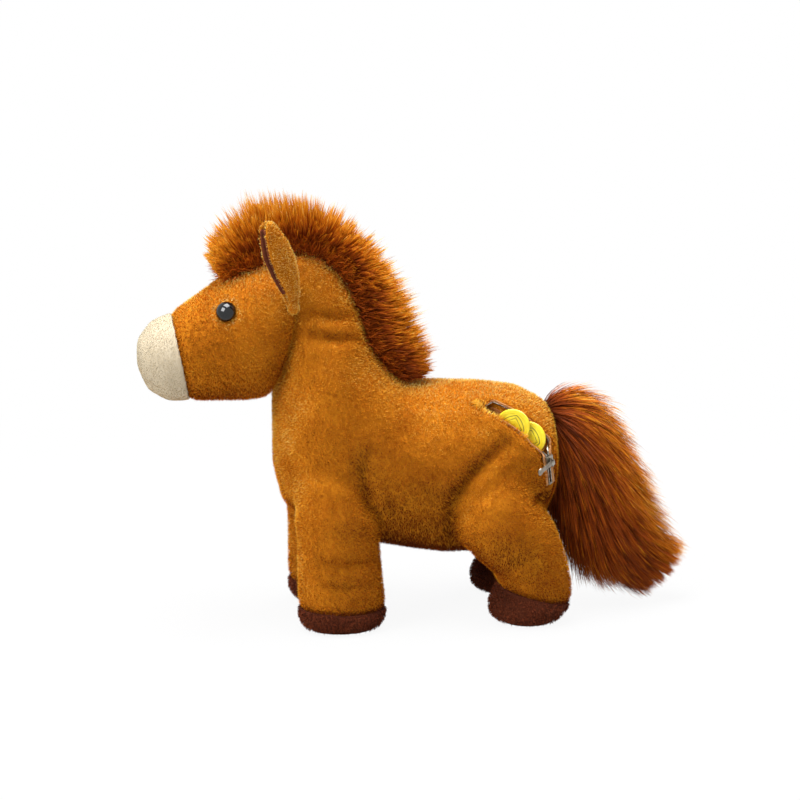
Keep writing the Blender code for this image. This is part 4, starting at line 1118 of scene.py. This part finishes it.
def mane_piece(name, count, seed, reach, tufts):
    """Long strands that fan out from the crest and gather in tufts."""
    draw = np.random.default_rng(seed)
    share = draw.random(count)
    angle = np.clip(draw.normal(size=count) * 0.95, -2.1, 2.1)
    tuft_share = draw.random(tufts)
    tuft_angle = np.clip(draw.normal(size=tufts), -2.0, 2.0)
    apart = (share[:, None] - tuft_share) ** 2 * 30 + (angle[:, None] - tuft_angle) ** 2 * 0.35
    own = apart.argmin(1)
    tuft_reach = draw.uniform(0.86, 1.12, tufts)
    pull = draw.uniform(0.45, 0.85, count)
    tip_share = between(share, tuft_share[own], pull)
    tip_angle = between(angle, tuft_angle[own], pull)
    crest, brush = along_rows(CREST, share), along_rows(BRUSH, share)
    tip_crest, tip_brush = along_rows(CREST, tip_share), along_rows(BRUSH, tip_share)
    out = unit(brush[:, :2] - crest)
    tip_out = unit(tip_brush[:, :2] - tip_crest)
    half_out = np.linalg.norm(tip_brush[:, :2] - tip_crest, axis=1) / 2
    roots = upright(crest + out * 1.0 * MM, np.sin(angle) * MANE_ROOT)
    far = reach * tuft_reach[own] * draw.uniform(0.8, 1.08, count)
    flat = tip_out * (half_out * far ** 2 * np.cos(tip_angle))[:, None] + (tip_crest + tip_brush[:, :2]) / 2
    tips = upright(flat, tip_brush[:, 2] * np.sin(tip_angle) * np.clip(far, 0, 1.05))
    tips = tips + MANE_FALL * np.abs(np.sin(tip_angle))[:, None]
    middles = between(roots, tips, 0.58) + upright(out * 2.5 * MM, np.sign(angle) * 2.0 * MM)
    t = np.linspace(0, 1, FUR_STEPS)[None, :]
    # the golden tips are the fur's own two tone; tips lighter on strands that reach out along the top than on
    # those lying to the sides are a painted highlight
    edge = np.maximum(np.cos(np.clip(tip_angle, -1.5, 1.5)), 0)[:, None]
    withers = np.clip((0.25 - tip_share) / 0.25, 0, 1)[:, None]
    uneven = draw.normal(size=count)[:, None] * 0.09
    tone = 0.05 + t ** 1.6 * (0.42 + 0.48 * edge ** 1.2) + uneven * t - 0.2 * withers * t
    tone += (draw.random(count) < LIGHT_SHARE)[:, None] * 0.3 * t
    outward = unit(upright(out * np.cos(angle)[:, None], np.sin(angle)))
    fur(name, (roots, middles, tips), tone, draw, outward)


def mane_root_piece(name, count, seed):
    """Short dark curly strands where the mane leaves the neck and the brow."""
    draw = np.random.default_rng(seed)
    share = draw.random(count)
    hand = draw.choice((-1.0, 1.0), count)
    crest, brush = along_rows(CREST, share), along_rows(BRUSH, share)
    out = unit(brush[:, :2] - crest)
    wide = draw.uniform(0.45, 1.0, count) * np.minimum(brush[:, 2] * 0.62, 13 * MM)
    roots = upright(crest - out * (wide ** 2 / (22 * MM))[:, None], hand * wide)
    length = draw.uniform(9, 19, count) * MM
    rise = draw.uniform(0.35, 1.0, count)[:, None]
    spread = draw.uniform(0.35, 0.9, count)
    way = unit(upright(out * rise, hand * spread) + draw.normal(size=(count, 3)) * 0.33)
    tips = roots + way * length[:, None]
    half_way = (way + upright(out * 0.2, hand * 0.45)) * (length * 0.5)[:, None]
    middles = roots + half_way + draw.normal(size=(count, 3)) * 1.4 * MM
    t = np.linspace(0, 1, ROOT_STEPS)[None, :]
    light = 0.25 * draw.random(count)[:, None] ** 2
    tone = 0.04 + t * (0.20 + light) + 0.12 * share[:, None] * t
    outward = unit(upright(out * 0.3, hand))
    fur(name, (roots, middles, tips), tone, draw, outward, half=ROOT_HALF)


mane_root_piece("mane_strands_root", 8000, 43)
mane_nodes = ["mane_fur", "mane_backing"]
mane_core = soft_copy("mane_core", mane_nodes, 1.6 * MM, steps=10)
places, _ = points_of(mane_core)
crest_line = upright(CREST, np.zeros(len(CREST)))
on_crest = crest_line[nearest_in(places, crest_line)]
set_points(mane_core, on_crest + (places - on_crest) * np.array((0.5, 0.32, 0.5)))
put("mane_core", mane_core, fur_core, nodes=mane_nodes)
mane_piece("mane_strands_near", 14500, 41, 1.0, 560)
mane_piece("mane_strands_loose", 9000, 42, 1.06, 2400)

# tail: a plume of strands that leave its spine all along
TAIL_ROOT = 0.42
TAIL_DROOP = np.array((0.075, 0, -0.06))


def wrapped(angle):
    """The same angle between minus and plus half a turn."""
    return (angle + math.pi) % math.tau - math.pi


def tail_spot(share, turn, radius):
    """A place in the plume, from its share of the way, its turn about the spine and its reach."""
    top, low = along_rows(TAIL_TOP, share), along_rows(TAIL_LOW, share)
    flat = (top[:, :2] + low) / 2 + (top[:, :2] - low) / 2 * (np.cos(turn) * radius)[:, None]
    return upright(flat, top[:, 2] * np.sin(turn) * radius)


def tail_piece(name, count, seed, reach, tufts):
    """Long strands that lie along the plume and gather in tufts."""
    draw = np.random.default_rng(seed)
    start = draw.random(count) ** 0.9 * 0.86
    angle = draw.uniform(-math.pi, math.pi, count)
    end = np.minimum(start + draw.uniform(0.16, 0.34, count), 1.06)
    tuft_end = draw.random(tufts) * 1.05
    tuft_angle = draw.uniform(-math.pi, math.pi, tufts)
    turned = wrapped(angle[:, None] - tuft_angle)
    own = ((end[:, None] - tuft_end) ** 2 * 40 + turned ** 2 * 0.5).argmin(1)
    pull = draw.uniform(0.4, 0.8, count)
    tip_end = np.maximum(end + (tuft_end[own] - end) * pull, start + 0.08)
    tip_angle = angle + wrapped(tuft_angle[own] - angle) * pull
    far = reach * draw.uniform(0.8, 1.1, count) * draw.uniform(0.88, 1.1, tufts)[own]
    closing = np.clip((tip_end - 0.78) / 0.2, 0, 1)
    far = far * (1 - closing * (1 - np.sqrt(draw.random(count))))
    roots = tail_spot(start, angle, TAIL_ROOT * (1 - 0.5 * closing))
    tips = tail_spot(tip_end, tip_angle, far) + np.clip(tip_end - 1, 0, 1)[:, None] * TAIL_DROOP
    middles = tail_spot((start + tip_end) / 2, (angle + tip_angle) / 2, between(TAIL_ROOT, far, 0.75))
    tips[:, 2] = np.maximum(tips[:, 2], draw.uniform(1.0, 9.0, count) * MM)
    middles[:, 2] = np.maximum(middles[:, 2], 4.0 * MM)
    t = np.linspace(0, 1, FUR_STEPS)[None, :]
    # the golden tips are the fur's own two tone; the extra lightness of tips on the plume's upper side is a
    # painted highlight
    edge = np.maximum(np.cos(tip_angle), 0)[:, None]
    uneven = draw.normal(size=count)[:, None] * 0.1
    tone = t ** 1.7 * (0.24 + 0.56 * edge ** 1.4 + 0.10 * tip_end[:, None]) + uneven * t
    tone += (draw.random(count) < LIGHT_SHARE)[:, None] * 0.28 * t
    out = unit(along_rows(TAIL_TOP, start)[:, :2] - along_rows(TAIL_LOW, start))
    outward = unit(upright(out * np.cos(angle)[:, None], np.sin(angle)))
    fur(name, (roots, middles, tips), tone, draw, outward, "tail")


tail_nodes = ["tail_fur", "tail_backing"]
tail_core = soft_copy("tail_core", tail_nodes, 2.0 * MM, steps=10)
places, _ = points_of(tail_core)
spine = upright((TAIL_TOP[:, :2] + TAIL_LOW) / 2, np.zeros(len(TAIL_TOP)))
shares = np.linspace(0, 1, 12, endpoint=False)[:, None]
steps = [start + (end - start) * shares for start, end in zip(spine[:-1], spine[1:])]
dense = np.concatenate([*steps, spine[-1:]])
nearest = nearest_in(places, dense)
thin = 0.62 * (1 - 0.8 * np.clip((nearest / len(dense) - 0.55) / 0.4, 0, 1))
set_points(tail_core, dense[nearest] + (places - dense[nearest]) * thin[:, None])
put("tail_core", tail_core, fur_core, "tail", tail_nodes)
tail_piece("tail_strands", 14500, 51, 1.0, 760)
tail_piece("tail_strands_loose", 10000, 52, 1.06, 2600)
